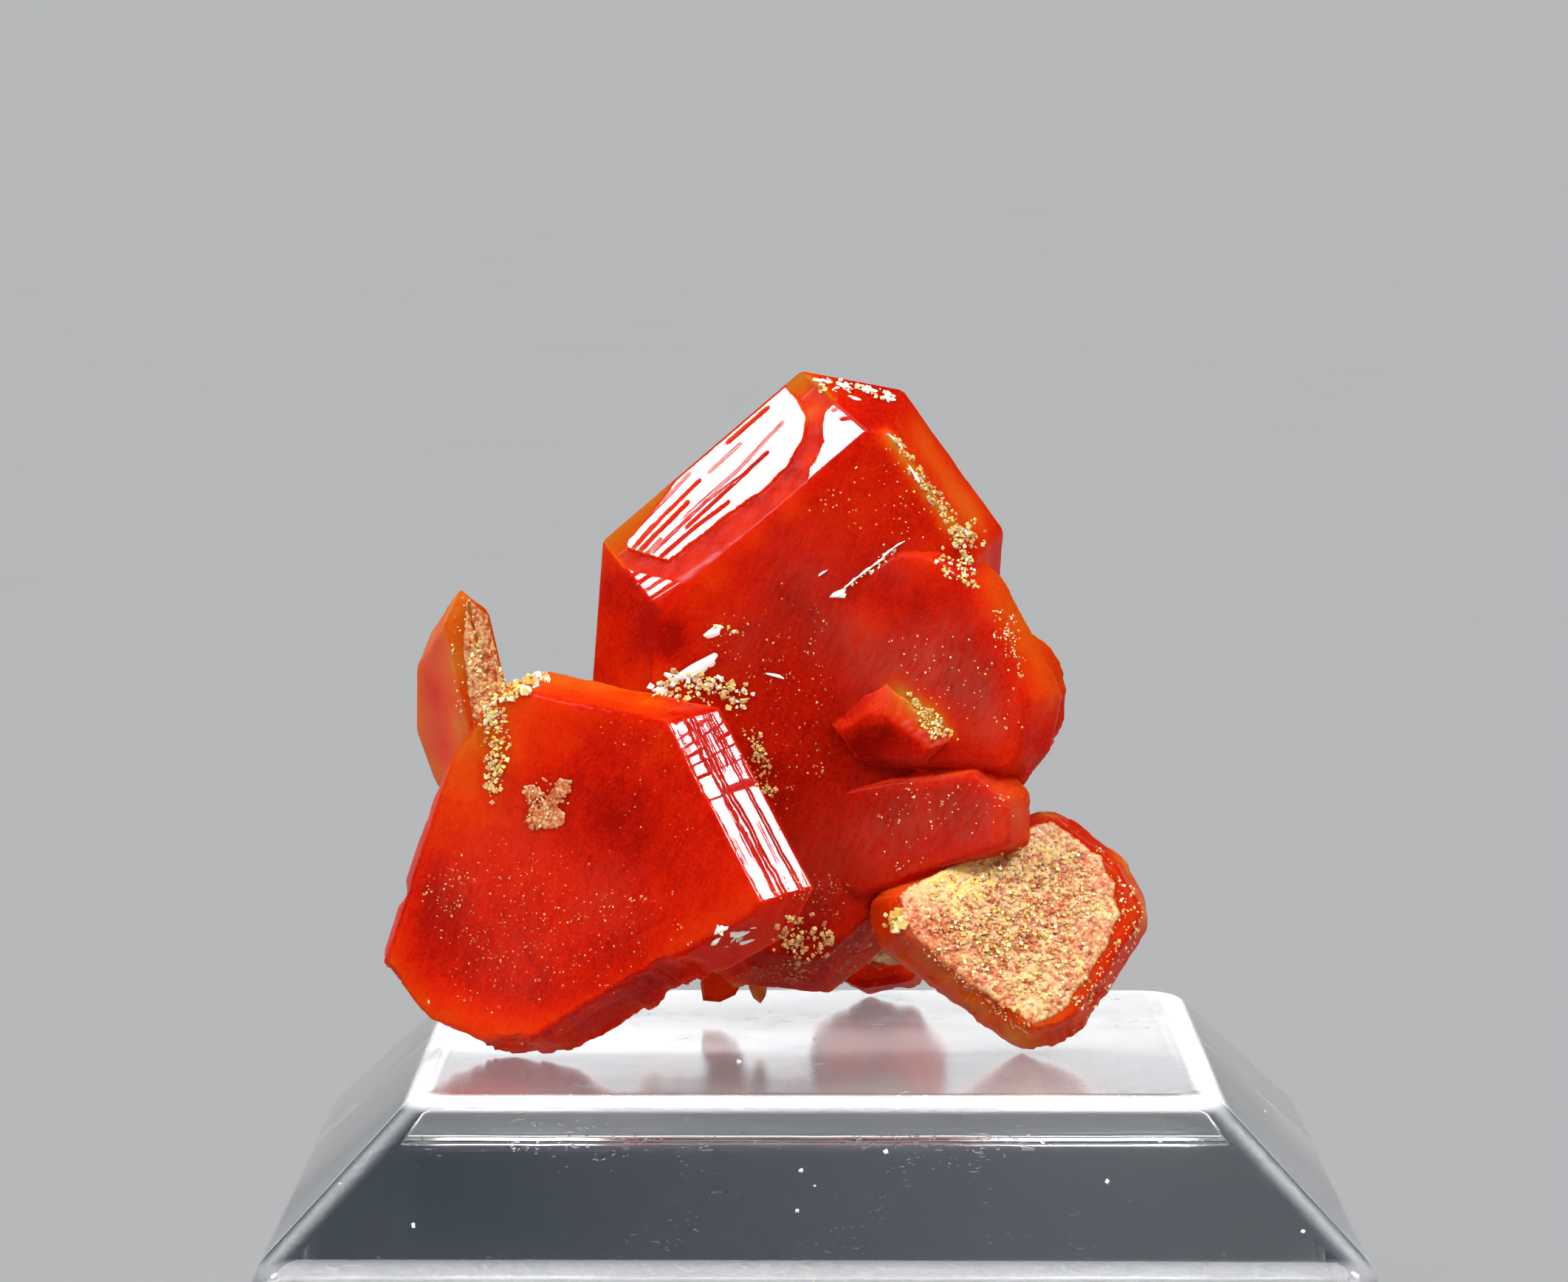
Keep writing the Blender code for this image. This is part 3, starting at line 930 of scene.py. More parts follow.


# Painted glow and painted shade in the crystals' colour, where the light collects in a crystal or fails to:
# (pixel, radius in mm, how much)
PAINTED_GLOW_AND_SHADE = [
    ((700, 925), 0.8, 0.30), ((760, 920), 0.8, 0.30), ((820, 930), 0.8, 0.30), ((880, 948), 0.8, 0.22),
    ((1250, 600), 0.9, 0.32), ((1290, 660), 0.9, 0.32), ((1320, 700), 0.8, 0.32), ((1110, 520), 0.8, 0.15),
    ((1395, 870), 0.9, 0.30), ((1420, 930), 0.9, 0.30), ((1345, 790), 0.9, 0.30), ((1375, 830), 0.8, 0.25),
    ((1215, 935), 0.5, 0.40), ((1262, 972), 0.5, 0.50), ((1225, 955), 0.4, 0.2), ((960, 765), 0.7, 0.10),
    ((618, 900), 0.5, 0.25), ((618, 980), 0.5, 0.2), ((1550, 1230), 0.6, 0.4), ((1525, 1170), 0.6, 0.4),
    ((1470, 1120), 0.6, 0.35), ((1420, 1104), 0.5, 0.35), ((1320, 1360), 0.6, 0.3),
    ((1250, 1300), 0.6, 0.25), ((1285, 1330), 0.5, 0.2), ((592, 860), 0.7, -0.22), ((590, 940), 0.8, -0.25),
    ((600, 1010), 0.7, -0.2), ((900, 865), 0.7, -0.30), ((1080, 1290), 1.8, -0.15),
    ((1060, 1130), 1.6, -0.10), ((600, 1250), 1.4, -0.16), ((570, 1180), 1.2, -0.14),
    ((560, 1290), 1.2, -0.14), ((700, 1380), 1.2, -0.06), ((1200, 1335), 1.0, -0.45),
    ((1160, 1330), 0.8, -0.3), ((1180, 1010), 0.9, -0.10), ((870, 1340), 1.0, -0.10),
    ((830, 1110), 1.8, -0.12), ((820, 800), 0.8, -0.10), ((1430, 880), 0.7, 0.2), ((1440, 980), 0.8, 0.25),
    ((1250, 760), 0.8, 0.12), ((1170, 850), 0.7, 0.12), ((1150, 700), 1.2, 0.08), ((1380, 1075), 0.6, 0.2),
    ((1203, 590), 0.28, 0.5), ((1213, 602), 0.24, 0.5), ((1224, 618), 0.24, 0.6), ((1236, 636), 0.24, 0.6),
    ((1247, 653), 0.24, 0.6), ((1258, 668), 0.24, 0.6), ((1270, 685), 0.24, 0.55),
    ((1282, 702), 0.28, 0.55), ((1296, 718), 0.34, 0.5), ((1222, 938), 0.2, 0.3), ((1240, 952), 0.2, 0.5),
    ((1256, 966), 0.2, 0.5), ((1272, 980), 0.2, 0.5), ((1286, 993), 0.2, 0.45), ((1010, 715), 0.6, 0.15),
    ((1060, 672), 0.6, 0.15), ((1100, 560), 0.4, 0.25), ((1100, 625), 0.4, 0.22), ((905, 785), 0.5, 0.08),
    ((1075, 695), 0.4, 0.12), ((1240, 965), 0.5, 0.2), ((1190, 960), 0.5, 0.12), ((1540, 1290), 0.7, 0.4),
    ((1500, 1360), 0.7, 0.4), ((1450, 1412), 0.6, 0.4), ((1380, 1405), 0.6, 0.35),
    ((640, 1330), 1.5, -0.16), ((760, 1350), 1.5, -0.14), ((850, 1290), 1.2, -0.10),
    ((1330, 990), 0.7, 0.10), ((1380, 1110), 0.6, 0.15), ((1060, 1335), 1.2, -0.25),
    ((1150, 1335), 1.0, -0.25),
]


OFF_PATCH_LUSTRE = 0.03  # of the main crystal's bevel, beside its bright patches
LIGHT_REACH = 2.2  # how deep light goes in a crystal, in mm
DEEPEST = 8.0  # how much crystal behind a place counts, in mm
PROBES, QUICK_PROBES, PROBE_SPREAD = 6, 3, 0.55  # rays that measure it, and how they spread
# Painted sheen: pale pinkish patches painted into the colour where a face would mirror dim light: (pixel,
# radius in mm, how much)
PAINTED_SHEEN = [
    ((1190, 900), 1.0, 0.5), ((1260, 895), 1.0, 0.55), ((1320, 930), 0.9, 0.6), ((1340, 980), 0.7, 0.4),
    ((1250, 1110), 1.2, 0.5), ((1330, 1110), 1.0, 0.6), ((1180, 1140), 1.0, 0.35), ((1130, 860), 0.9, 0.3),
    ((1090, 780), 1.4, 0.25), ((1215, 770), 0.7, 0.2), ((592, 900), 0.8, 0.35), ((592, 980), 0.8, 0.35),
    ((1010, 870), 0.8, 0.2), ((1100, 1180), 1.4, 0.25), ((700, 1150), 1.6, 0.15), ((1300, 850), 0.8, 0.2),
    ((1262, 1285), 0.7, 0.55), ((1230, 1262), 0.6, 0.5), ((1310, 1330), 0.5, 0.3), ((700, 1300), 1.6, 0.2),
    ((620, 1200), 1.0, 0.2), ((820, 1220), 1.2, 0.2), ((530, 1180), 0.7, 0.3), ((545, 1120), 0.7, 0.3),
]


def vertex_rows(obj, what):
    """The "co" or "normal" of each vertex."""
    values = np.zeros(3 * len(obj.data.vertices))
    obj.data.vertices.foreach_get(what, values)
    return values.reshape(-1, 3)


def store(obj, name, values):
    """Keeps a value from 0 to 1 on each vertex, for a material to read."""
    attribute = obj.data.attributes.new(name, "FLOAT", "POINT")
    attribute.data.foreach_set("value", np.clip(values, 0, 1).astype(np.float32))


def nearness(obj, spots):
    """How near each vertex is to the spots, each spot's amount counting fully at its middle."""
    points = vertex_rows(obj, "co") / MM
    total = np.zeros(len(points))
    for place, radius, amount in spots:
        total += amount * np.exp(-(np.linalg.norm(points - place, axis=1) / radius) ** 2)
    return total


def mark_lustre(obj, node):
    """Stores on each vertex whether it lies on the piece's glossy facet."""
    if node in GLOSSY:
        plate, label = GLOSSY[node]
        facet, matrix = facet_named(plate, label), np.array(pose(plate))
        toward = matrix[:3, :3] @ np.array(facet.normal)
        lustre = smoothstep(0.90, 0.97, vertex_rows(obj, "normal") @ toward)
        if plate == "main_plate":
            flat = facet.flatten((vertex_rows(obj, "co") / MM - matrix[:3, 3]) @ matrix[:3, :3])
            lustre *= np.maximum(OFF_PATCH_LUSTRE, in_patches(facet, *flat.T))
        store(obj, "lustre", lustre)


def mark_thinness_and_painted_glow(obj, painted_glow_and_shade):
    """Stores on each vertex how little crystal lies behind it, from 0 deep to 1 thin, plus the painted glow
    and painted shade spots.
    """
    mesh = obj.data
    tree = BVHTree.FromPolygons([v.co for v in mesh.vertices], [p.vertices for p in mesh.polygons])
    draw = np.random.default_rng(5)
    count = PROBES
    tilts = [Vector(t) for t in draw.normal(0, PROBE_SPREAD, (count, 3))]
    values = np.zeros(len(mesh.vertices))
    for number, vertex in enumerate(mesh.vertices):
        inward = -vertex.normal
        start = vertex.co + inward * 0.02 * MM
        total = 0.0
        for tilt in tilts:
            hit = tree.ray_cast(start, (inward + tilt).normalized(), 20 * MM)
            total += min((hit[3] or 0.0) / MM, DEEPEST)
        values[number] = np.exp(-total / len(tilts) / LIGHT_REACH)
    store(obj, "thin", values + nearness(obj, painted_glow_and_shade))


def surface_of(objects):
    """One tree of the objects' triangles, in millimetres."""
    points, faces = [], []
    for obj in objects:
        first = len(points)
        points += [v.co / MM for v in obj.data.vertices]
        faces += [[first + i for i in p.vertices] for p in obj.data.polygons]
    return BVHTree.FromPolygons(points, faces)


def seen_at(surface, pixel):
    """The place and normal, in millimetres, of what shows at a pixel of the photo."""
    place, normal, _, _ = surface.ray_cast(CAMERA_AT, ray(pixel))
    return place, normal


# ========================================================== crust, grains and flakes
CHIP = np.array([(x, y, z) for x in (-1, 1) for y in (-1, 1) for z in (-1, 1)], float)
CHIP_FACES = np.array([(0, 1, 3, 2), (4, 6, 7, 5), (0, 4, 5, 1), (2, 3, 7, 6), (0, 2, 6, 4), (1, 5, 7, 3)])
CHIP_LEAN = 0.35


def frames(normals, tilt, draw):
    """Three axes for each normal: turned at random about it, and leaning by about tilt."""
    up = normals + tilt * draw.normal(0, 1, normals.shape)
    up /= np.linalg.norm(up, axis=1)[:, None]
    side = np.cross(up, draw.normal(0, 1, normals.shape))
    side /= np.linalg.norm(side, axis=1)[:, None]
    return side, np.cross(up, side), up


def chips(name, grains, seed):
    """Angular grains as one object. grains holds rows of place, normal, size, tone, flatness."""
    draw = np.random.default_rng(seed)
    places = np.array([g[0] for g in grains])
    normals = np.array([g[1] for g in grains])
    size, tone, flat = (np.array([g[i] for g in grains]) for i in (2, 3, 4))
    corners = CHIP * (1 + draw.uniform(-0.4, 0.3, (len(grains), 8, 3)))
    corners *= size[:, None, None] / 2 * draw.uniform(0.7, 1.2, (len(grains), 1, 3))
    corners[..., 2] *= flat[:, None]
    side, over, up = frames(normals, CHIP_LEAN, draw)
    places = places + normals * (size * flat * 0.22)[:, None]
    points = (
        places[:, None] + corners[..., :1] * side[:, None] + corners[..., 1:2] * over[:, None]
        + corners[..., 2:] * up[:, None]
    )
    faces = (CHIP_FACES[None] + 8 * np.arange(len(grains))[:, None, None]).reshape(-1, 4)
    obj = new_object(name, points.reshape(-1, 3), faces)
    store(obj, "tone", np.repeat(tone, 8))
    return obj


GRAINS_BEFORE = 9  # how far back, in mm, the photo's grains may lie
CLUMP = 14  # how many grains of a clumping region gather round one place


def in_ring(ring, count, draw):
    """Random pixels inside a ring of pixels."""
    ring = np.array(ring, float)
    low, high = ring.min(axis=0), ring.max(axis=0)
    found = np.zeros((0, 2))
    while len(found) < count:
        pixels = draw.uniform(low, high, (4 * count, 2))
        found = np.concatenate([found, pixels[signed_distance(pixels, ring) > 0]])
    return found[:count]


def grains_at(surface, regions, seed):
    """Rows for chips(): grains on what shows inside each ring of pixels.

    A region is (ring, count, (smallest, largest), (lowest tone, highest), flatness, clumping).
    """
    draw = np.random.default_rng(seed)
    rows = []
    for ring, count, sizes, tones, flat, clumping in regions:
        pixels = in_ring(ring, count, draw)
        if clumping:
            homes = in_ring(ring, max(2, count // CLUMP), draw)
            chosen = homes[draw.integers(0, len(homes), count)]
            pixels = chosen + (pixels - chosen) * draw.uniform(0, 1, (count, 1)) ** (1 + 2 * clumping)
        for pixel in pixels:
            place, normal = seen_at(surface, pixel)
            share = draw.random() ** 2
            size = sizes[0] + (sizes[1] - sizes[0]) * share
            tone = draw.uniform(*tones)
            if place is not None and place.y < GRAINS_BEFORE:
                rows.append((np.array(place), np.array(normal), size, tone, flat))
    return rows


SPECKLES, GRAINS = (0.03, 0.06), (0.05, 0.15)
# Where the loose grains are, as grains_at() takes it.
GRAIN_REGIONS = [
    # the junction of the main and left crystals
    ([(880, 922), (905, 905), (1000, 912), (1022, 935), (1015, 962), (960, 960), (885, 945)],
     240, GRAINS, (0.45, 1.0), 0.9, 0.8),
    ([(1000, 985), (1030, 975), (1065, 1100), (1040, 1120), (1010, 1040)],
     130, (0.04, 0.11), (0.2, 0.8), 0.9, 0.6),
    ([(968, 845), (1015, 848), (1010, 866), (965, 866)], 26, (0.04, 0.12), (0.6, 1.0), 0.7, 0.5),
    # specks over the main crystal's face
    ([(900, 830), (1120, 700), (1150, 1000), (1040, 1180), (1000, 960)],
     200, (0.02, 0.055), (0.2, 0.7), 0.8, 0.2),
    ([(1090, 690), (1200, 600), (1290, 720), (1200, 740)], 60, SPECKLES, (0.3, 0.8), 0.8, 0.0),
    # its top, and the crust along its upper right bevel
    ([(1100, 508), (1170, 516), (1222, 535), (1205, 548), (1150, 528), (1100, 530)],
     70, (0.05, 0.16), (0.75, 1.0), 0.5, 0.6),
    ([(1198, 580), (1216, 588), (1312, 716), (1300, 735), (1270, 695), (1228, 640)],
     230, (0.03, 0.11), (0.35, 0.85), 0.9, 0.7),
    ([(1285, 712), (1322, 700), (1345, 735), (1312, 752), (1285, 740)], 110, GRAINS, (0.35, 0.85), 0.9, 0.6),
    # the upper overgrowth
    # pale grains along its top edge, partly a painted glint
    ([(1125, 803), (1215, 732), (1228, 738), (1140, 812)], 24, (0.03, 0.07), (0.75, 1.0), 0.5, 0.4),
    ([(1240, 735), (1312, 742), (1330, 800), (1280, 800)], 110, (0.04, 0.12), (0.5, 0.95), 0.9, 0.6),
    ([(1340, 800), (1388, 850), (1400, 925), (1365, 930), (1345, 870)], 110, SPECKLES, (0.5, 0.95), 0.9, 0.5),
    ([(1160, 860), (1350, 860), (1400, 1000), (1250, 960)], 60, SPECKLES, (0.4, 0.9), 0.8, 0.0),
    # the ridge of the small middle one, and the lower one
    ([(1216, 932), (1228, 934), (1302, 992), (1298, 1006), (1262, 1006), (1243, 980)],
     190, (0.03, 0.10), (0.5, 0.9), 0.9, 0.4),
    ([(1180, 1060), (1390, 1060), (1380, 1140), (1200, 1190)], 90, SPECKLES, (0.3, 0.9), 0.8, 0.3),
    # the main crystal's lower end
    ([(1050, 1240), (1135, 1235), (1130, 1305), (1040, 1310)], 170, (0.05, 0.14), (0.25, 0.75), 0.9, 0.6),
    ([(990, 1326), (1042, 1296), (1108, 1300), (1124, 1344)], 260, (0.02, 0.06), (0.02, 0.5), 0.9, 0.4),
    ([(1112, 1300), (1176, 1248), (1200, 1284), (1130, 1342)], 200, (0.02, 0.06), (0.02, 0.5), 0.9, 0.4),
    ([(1040, 1180), (1170, 1180), (1140, 1250), (1060, 1250)], 120, (0.02, 0.05), (0.2, 0.6), 0.8, 0.4),
    ([(1196, 1235), (1222, 1232), (1226, 1262), (1200, 1266)], 16, (0.12, 0.28), (0.6, 0.9), 0.9, 0.0),
    # the left crystal: its top left edge, its face
    ([(672, 905), (700, 895), (748, 892), (752, 925), (700, 948), (676, 950)],
     190, (0.06, 0.2), (0.5, 1.0), 0.9, 0.6),
    ([(620, 1110), (900, 1140), (960, 1270), (800, 1370), (640, 1380), (560, 1290)],
     420, (0.02, 0.05), (0.2, 0.6), 0.8, 0.35),
    ([(560, 1150), (650, 1160), (640, 1250), (560, 1240)], 90, (0.02, 0.055), (0.3, 0.7), 0.8, 0.6),
    ([(800, 960), (980, 1000), (1000, 1150), (840, 1140)], 40, (0.02, 0.045), (0.3, 0.7), 0.8, 0.0),
    ([(705, 1055), (775, 1050), (780, 1100), (740, 1130), (705, 1125)],
     90, (0.04, 0.1), (0.3, 0.6), 0.8, 0.3),
    # the upper left crystal's crusted side
    ([(630, 800), (652, 835), (684, 925), (694, 1000), (676, 1100), (652, 1090), (650, 1000), (632, 880)],
     420, (0.04, 0.14), (0.25, 0.9), 0.9, 0.4),
    ([(646, 935), (676, 930), (680, 985), (655, 990)], 60, (0.06, 0.14), (0.75, 0.95), 0.9, 0.3),
    ([(610, 800), (632, 800), (640, 980), (612, 990)], 60, SPECKLES, (0.4, 0.9), 0.8, 0.3),
    # the rim of the right crystal
    ([(1215, 1270), (1260, 1280), (1400, 1385), (1395, 1415)], 200, (0.025, 0.07), (0.3, 0.9), 0.8, 0.3),
    ([(1440, 1110), (1490, 1140), (1545, 1210), (1555, 1262),
      (1470, 1400), (1420, 1400), (1520, 1260), (1500, 1180)],
     260, (0.03, 0.09), (0.3, 0.9), 0.8, 0.3),
]
# The same for the bright flakes, some of them painted glints.
FLAKE_AND_PAINTED_GLINT_REGIONS = [
    ([(915, 920), (930, 905), (968, 885), (975, 893), (940, 925)], 6, (0.1, 0.25), (0.9, 1.0), 0.14, 0.0),
    ([(880, 925), (905, 925), (915, 945), (885, 942)], 10, (0.12, 0.3), (0.85, 1.0), 0.25, 0.0),
    ([(1148, 790), (1215, 738), (1222, 742), (1155, 796)], 8, (0.05, 0.12), (0.8, 1.0), 0.25, 0.0),
    ([(962, 1250), (1022, 1250), (1022, 1284), (962, 1284)], 8, (0.08, 0.24), (0.9, 1.0), 0.2, 0.0),
    ([(1100, 506), (1150, 508), (1210, 528), (1205, 545), (1110, 525)],
     10, (0.1, 0.22), (0.9, 1.0), 0.14, 0.0),
    ([(540, 1330), (800, 1400), (790, 1425), (600, 1400)], 6, (0.05, 0.12), (0.8, 1.0), 0.14, 0.0),
]


def nearest_two(points, centres):
    """Each point's distances to its two nearest centres, and the nearest's number."""
    tree = KDTree(len(centres))
    for number, centre in enumerate(centres):
        tree.insert(Vector((*centre, 0.0)[:3]), number)
    tree.balance()
    found = [tree.find_n(Vector((*point, 0.0)[:3]), 2) for point in points]
    first, second = (np.array([pair[rank][2] for pair in found]) for rank in (0, 1))
    return first, second, np.array([pair[0][1] for pair in found])


def outward(obj):
    """Turns the faces of a closed mesh outwards."""
    bm = bmesh.new()
    bm.from_mesh(obj.data)
    bmesh.ops.recalc_face_normals(bm, faces=bm.faces)
    bm.to_mesh(obj.data)
    bm.free()


# Of the crusts, in mm: the step along their outline, how rough it is, how wide the rim is where
# they thin out, how high the ground between the grains is, and how deep they are sunk.
OUTLINE_STEP, OUTLINE_ROUGHNESS, THIN_RIM, GROUND, SUNK = 0.09, 0.016, 0.12, 0.02, 0.15
ACCENTED = 0.6  # the share of the grains that an accent draws to its tone


def crust_sheet(name, host, label, pixels, tones, accents, seed, spacing, step, thick):
    """A layer of grown-together grains on one facet, inside a ring of pixels.

    On the back, which no pixel shows, the ring is of places on the facet, in mm. accents are
    (pixel, radius in mm, tone): where the grains tend to another tone. The grains lie spacing
    apart and stand thick above the facet, and step is the gap between the points of the mesh.
    """
    draw = np.random.default_rng(seed)
    facet = facet_named(host, label)
    hidden = label == "back face"
    corners = np.array(pixels if hidden else [facet.pixel(p) for p in pixels])
    ring = []
    for a, b in zip(corners, np.roll(corners, -1, axis=0)):
        count = max(1, ceil(np.linalg.norm(b - a) / OUTLINE_STEP))
        ring += [a + (b - a) * i / count for i in range(count)]
    ring = np.array(ring) + draw.normal(0, OUTLINE_ROUGHNESS, (len(ring), 2))
    low, high = ring.min(axis=0), ring.max(axis=0)
    net = lattice(low, high, step, step * EVEN_ROW)
    edge = signed_distance(net, ring)
    net, edge = net[edge > step * 0.5], edge[edge > step * 0.5]
    centres = lattice(low - spacing, high + spacing, spacing, spacing * EVEN_ROW)
    centres = centres + draw.normal(0, 0.3 * spacing, centres.shape)
    first, second, number = nearest_two(net, centres)
    grain = draw.random(len(centres))
    tone = draw.uniform(*tones, len(centres))
    for pixel, radius, aim in accents:
        away = np.linalg.norm(centres - facet.pixel(pixel), axis=1)
        pull = np.exp(-(away / radius) ** 2) * (draw.random(len(centres)) < ACCENTED)
        tone += (aim - tone) * pull
    dome = np.sqrt(np.clip((second - first) / (0.7 * spacing), 0, 1))
    rise = GROUND + thick * (0.3 + 0.7 * grain[number]) * dome + 0.02 * waves(*net.T, 0.9, seed)
    rise *= smoothstep(0.0, THIN_RIM, edge)
    base = TERRACE_TOP - 0.1 if hidden else 0.0
    count, total = len(ring), len(ring) + len(net)
    height = np.concatenate([np.full(count, -GROUND), rise]) + base
    flat = np.concatenate([ring, net])
    faces = filled(flat, count)
    points = facet.lift(flat) + np.outer(height, facet.normal)
    below = facet.lift(ring) - SUNK * np.array(facet.normal)
    for i in range(count):
        j = (i + 1) % count
        faces.append((i, total + i, total + j, j))
    faces.append(range(total, total + count))
    obj = new_object(name, in_model(host, np.concatenate([points, below])), faces)
    shade = np.full(total + count, tones[0])
    # Painted shade: each grain's tone is darkened towards the gaps between the grains.
    shade[count:total] = tone[number] - 0.25 * (1 - dome)
    outward(obj)
    store(obj, "tone", shade)
    finish_shading(obj, 50)
    return obj


# The outlines of the crusts, in pixels, and where they tend to another tone.
RIGHT_CRUST = [
    (1219, 1213), (1232, 1200), (1262, 1186), (1310, 1162), (1362, 1137), (1400, 1118), (1426, 1112),
    (1440, 1122), (1462, 1137), (1478, 1152), (1494, 1161), (1499, 1180), (1511, 1196), (1509, 1216),
    (1519, 1238), (1508, 1258), (1500, 1284), (1486, 1300), (1474, 1326), (1455, 1346), (1446, 1366),
    (1424, 1378), (1400, 1388), (1380, 1374), (1356, 1360), (1334, 1344), (1312, 1332), (1294, 1314),
    (1274, 1302), (1256, 1284), (1242, 1274), (1230, 1256), (1217, 1246), (1222, 1228),
]
# The two slopes of the upper left crystal's side.
SIDE_FRONT_CRUST = [
    (631, 812), (648, 880), (672, 975), (699, 1098), (684, 1100), (660, 1060), (645, 1000), (634, 940),
    (627, 880),
]
SIDE_BACK_CRUST = [
    (635, 812), (660, 832), (672, 880), (683, 925), (696, 985), (712, 1055), (710, 1090), (700, 1095),
    (674, 980), (650, 880),
]
SIDE_ACCENTS = [((662, 962), 0.4, 0.72), ((640, 860), 0.5, 0.50)]
RIGHT_ACCENTS = [
    ((1310, 1200), 1.1, 0.84), ((1280, 1190), 0.8, 0.80), ((1330, 1160), 0.7, 0.85),
    ((1240, 1215), 0.6, 0.70), ((1470, 1300), 0.9, 0.42), ((1440, 1370), 0.9, 0.55),
    ((1490, 1200), 0.8, 0.36), ((1262, 1262), 0.8, 0.38), ((1400, 1330), 0.7, 0.66),
    ((1400, 1160), 0.8, 0.72), ((1500, 1230), 0.6, 0.68), ((1400, 1350), 0.6, 0.70),
    ((1250, 1250), 0.6, 0.22), ((1290, 1290), 0.5, 0.30), ((1340, 1320), 0.5, 0.30),
    ((1350, 1250), 0.7, 0.58),
]
LEFT_CRUST = [
    (708, 1066), (716, 1058), (731, 1062), (742, 1074), (750, 1062), (758, 1052), (774, 1054), (777, 1072),
    (766, 1082), (757, 1090), (768, 1102), (766, 1118), (752, 1126), (735, 1124), (722, 1128), (707, 1122),
    (709, 1104), (717, 1090), (709, 1080),
]


def crust_material():
    """Grains from dark red through orange and tan to white, by their tone."""
    nodes = new_material("crust")
    cloud = nodes.math("SUBTRACT", nodes.noise(9.0, 3.0), 0.5)
    body = nodes.ramp(nodes.plus(nodes.attribute("tone"), cloud, 0.22), [
        (0.0, (0.17, 0.020, 0.005)), (0.20, (0.52, 0.10, 0.012)), (0.38, (0.54, 0.25, 0.10)),
        (0.55, (0.66, 0.42, 0.17)), (0.70, (0.78, 0.48, 0.07)), (0.84, (0.90, 0.74, 0.32)),
        (1.0, (1.0, 0.98, 0.96)),
    ])
    rough = nodes.greys(nodes.noise(14.0, 2.0), 0.3, 0.7, dark=0.28, light=0.62)
    fine = nodes.bump(nodes.noise(25.0, 3.0), 0.006, 0.6)
    return nodes.finish(
        Base_Color=body, Roughness=rough, Normal=fine, IOR=1.6, Subsurface_Weight=0.4,
        Subsurface_Radius=(1.0, 0.5, 0.2), Subsurface_Scale=0.15 * MM,
    )


# Bright white splinters, some of them flakes and some painted glints along edges: from pixel, to pixel, width
# in mm.
SPLINTERS_AND_PAINTED_GLINTS = [
    ((915, 922), (972, 888), 0.36), ((900, 914), (926, 920), 0.22), ((955, 863), (978, 849), 0.26),
    ((1126, 808), (1148, 801), 0.24), ((1138, 801), (1162, 781), 0.06), ((1158, 784), (1182, 766), 0.07),
    ((1178, 769), (1198, 755), 0.06), ((1193, 757), (1210, 741), 0.07), ((1206, 744), (1226, 732), 0.05),
    ((968, 1262), (986, 1255), 0.20), ((992, 1268), (1014, 1261), 0.26), ((1000, 1278), (1020, 1272), 0.16),
    ((964, 1280), (975, 1270), 0.16), ((1100, 514), (1116, 517), 0.13), ((1132, 519), (1152, 526), 0.15),
    ((1166, 524), (1188, 531), 0.13), ((1150, 537), (1166, 543), 0.10), ((1196, 538), (1214, 543), 0.12),
    ((700, 914), (722, 904), 0.22), ((884, 936), (904, 930), 0.2), ((1205, 590), (1222, 606), 0.14),
    ((1232, 632), (1246, 655), 0.10), ((1290, 715), (1312, 722), 0.2), ((1040, 912), (1062, 918), 0.10),
    ((1108, 780), (1120, 772), 0.06), ((1266, 1345), (1300, 1372), 0.06),
    ((1340, 1400), (1372, 1416), 0.07),
]


def band(first, count):
    """The faces between the ring of count points that starts at first and the ring after it."""
    pairs = [(first + i, first + (i + 1) % count) for i in range(count)]
    return [(a, b, b + count, a + count) for a, b in pairs]


def splinters(name, rows, seed):
    """Smooth elongated flakes as one object, each a low dome on an oval."""
    draw = np.random.default_rng(seed)
    sides = 10
    points, faces = [], []
    for start, end, width in rows:
        middle = [(p + q) / 2 for p, q in zip(start, end)]
        found = [seen_at(surface, pixel) for pixel in (start, middle, end)]
        if any(place is None for place, _ in found):
            continue
        a, b, normal = np.array(found[0][0]), np.array(found[2][0]), np.array(found[1][1])
        along = (b - a) / 2
        side = np.cross(normal, along)
        side *= width / 2 / np.linalg.norm(side)
        first = len(points)
        for level, reach in ((-0.03, 1.0), (0.03, 1.0), (0.055, 0.62)):
            for angle in np.arange(sides) * TAU / sides:
                wobble = 1 + 0.22 * np.sin(3 * angle + first) + 0.12 * draw.normal()
                across = along * cos(angle) + side * sin(angle)
                points.append((a + b) / 2 + across * reach * wobble + normal * level)
        points.append((a + b) / 2 + normal * 0.065)
        top = first + 2 * sides
        faces += band(first, sides) + band(first + sides, sides)
        faces += [(a, b, top + sides) for a, b, _, _ in band(top, sides)]
        faces.append(range(first, first + sides)[::-1])
    obj = new_object(name, points, faces)
    outward(obj)
    store(obj, "tone", 0.94 + 0.06 * draw.random(len(points)))
    finish_shading(obj, 40)
    return obj


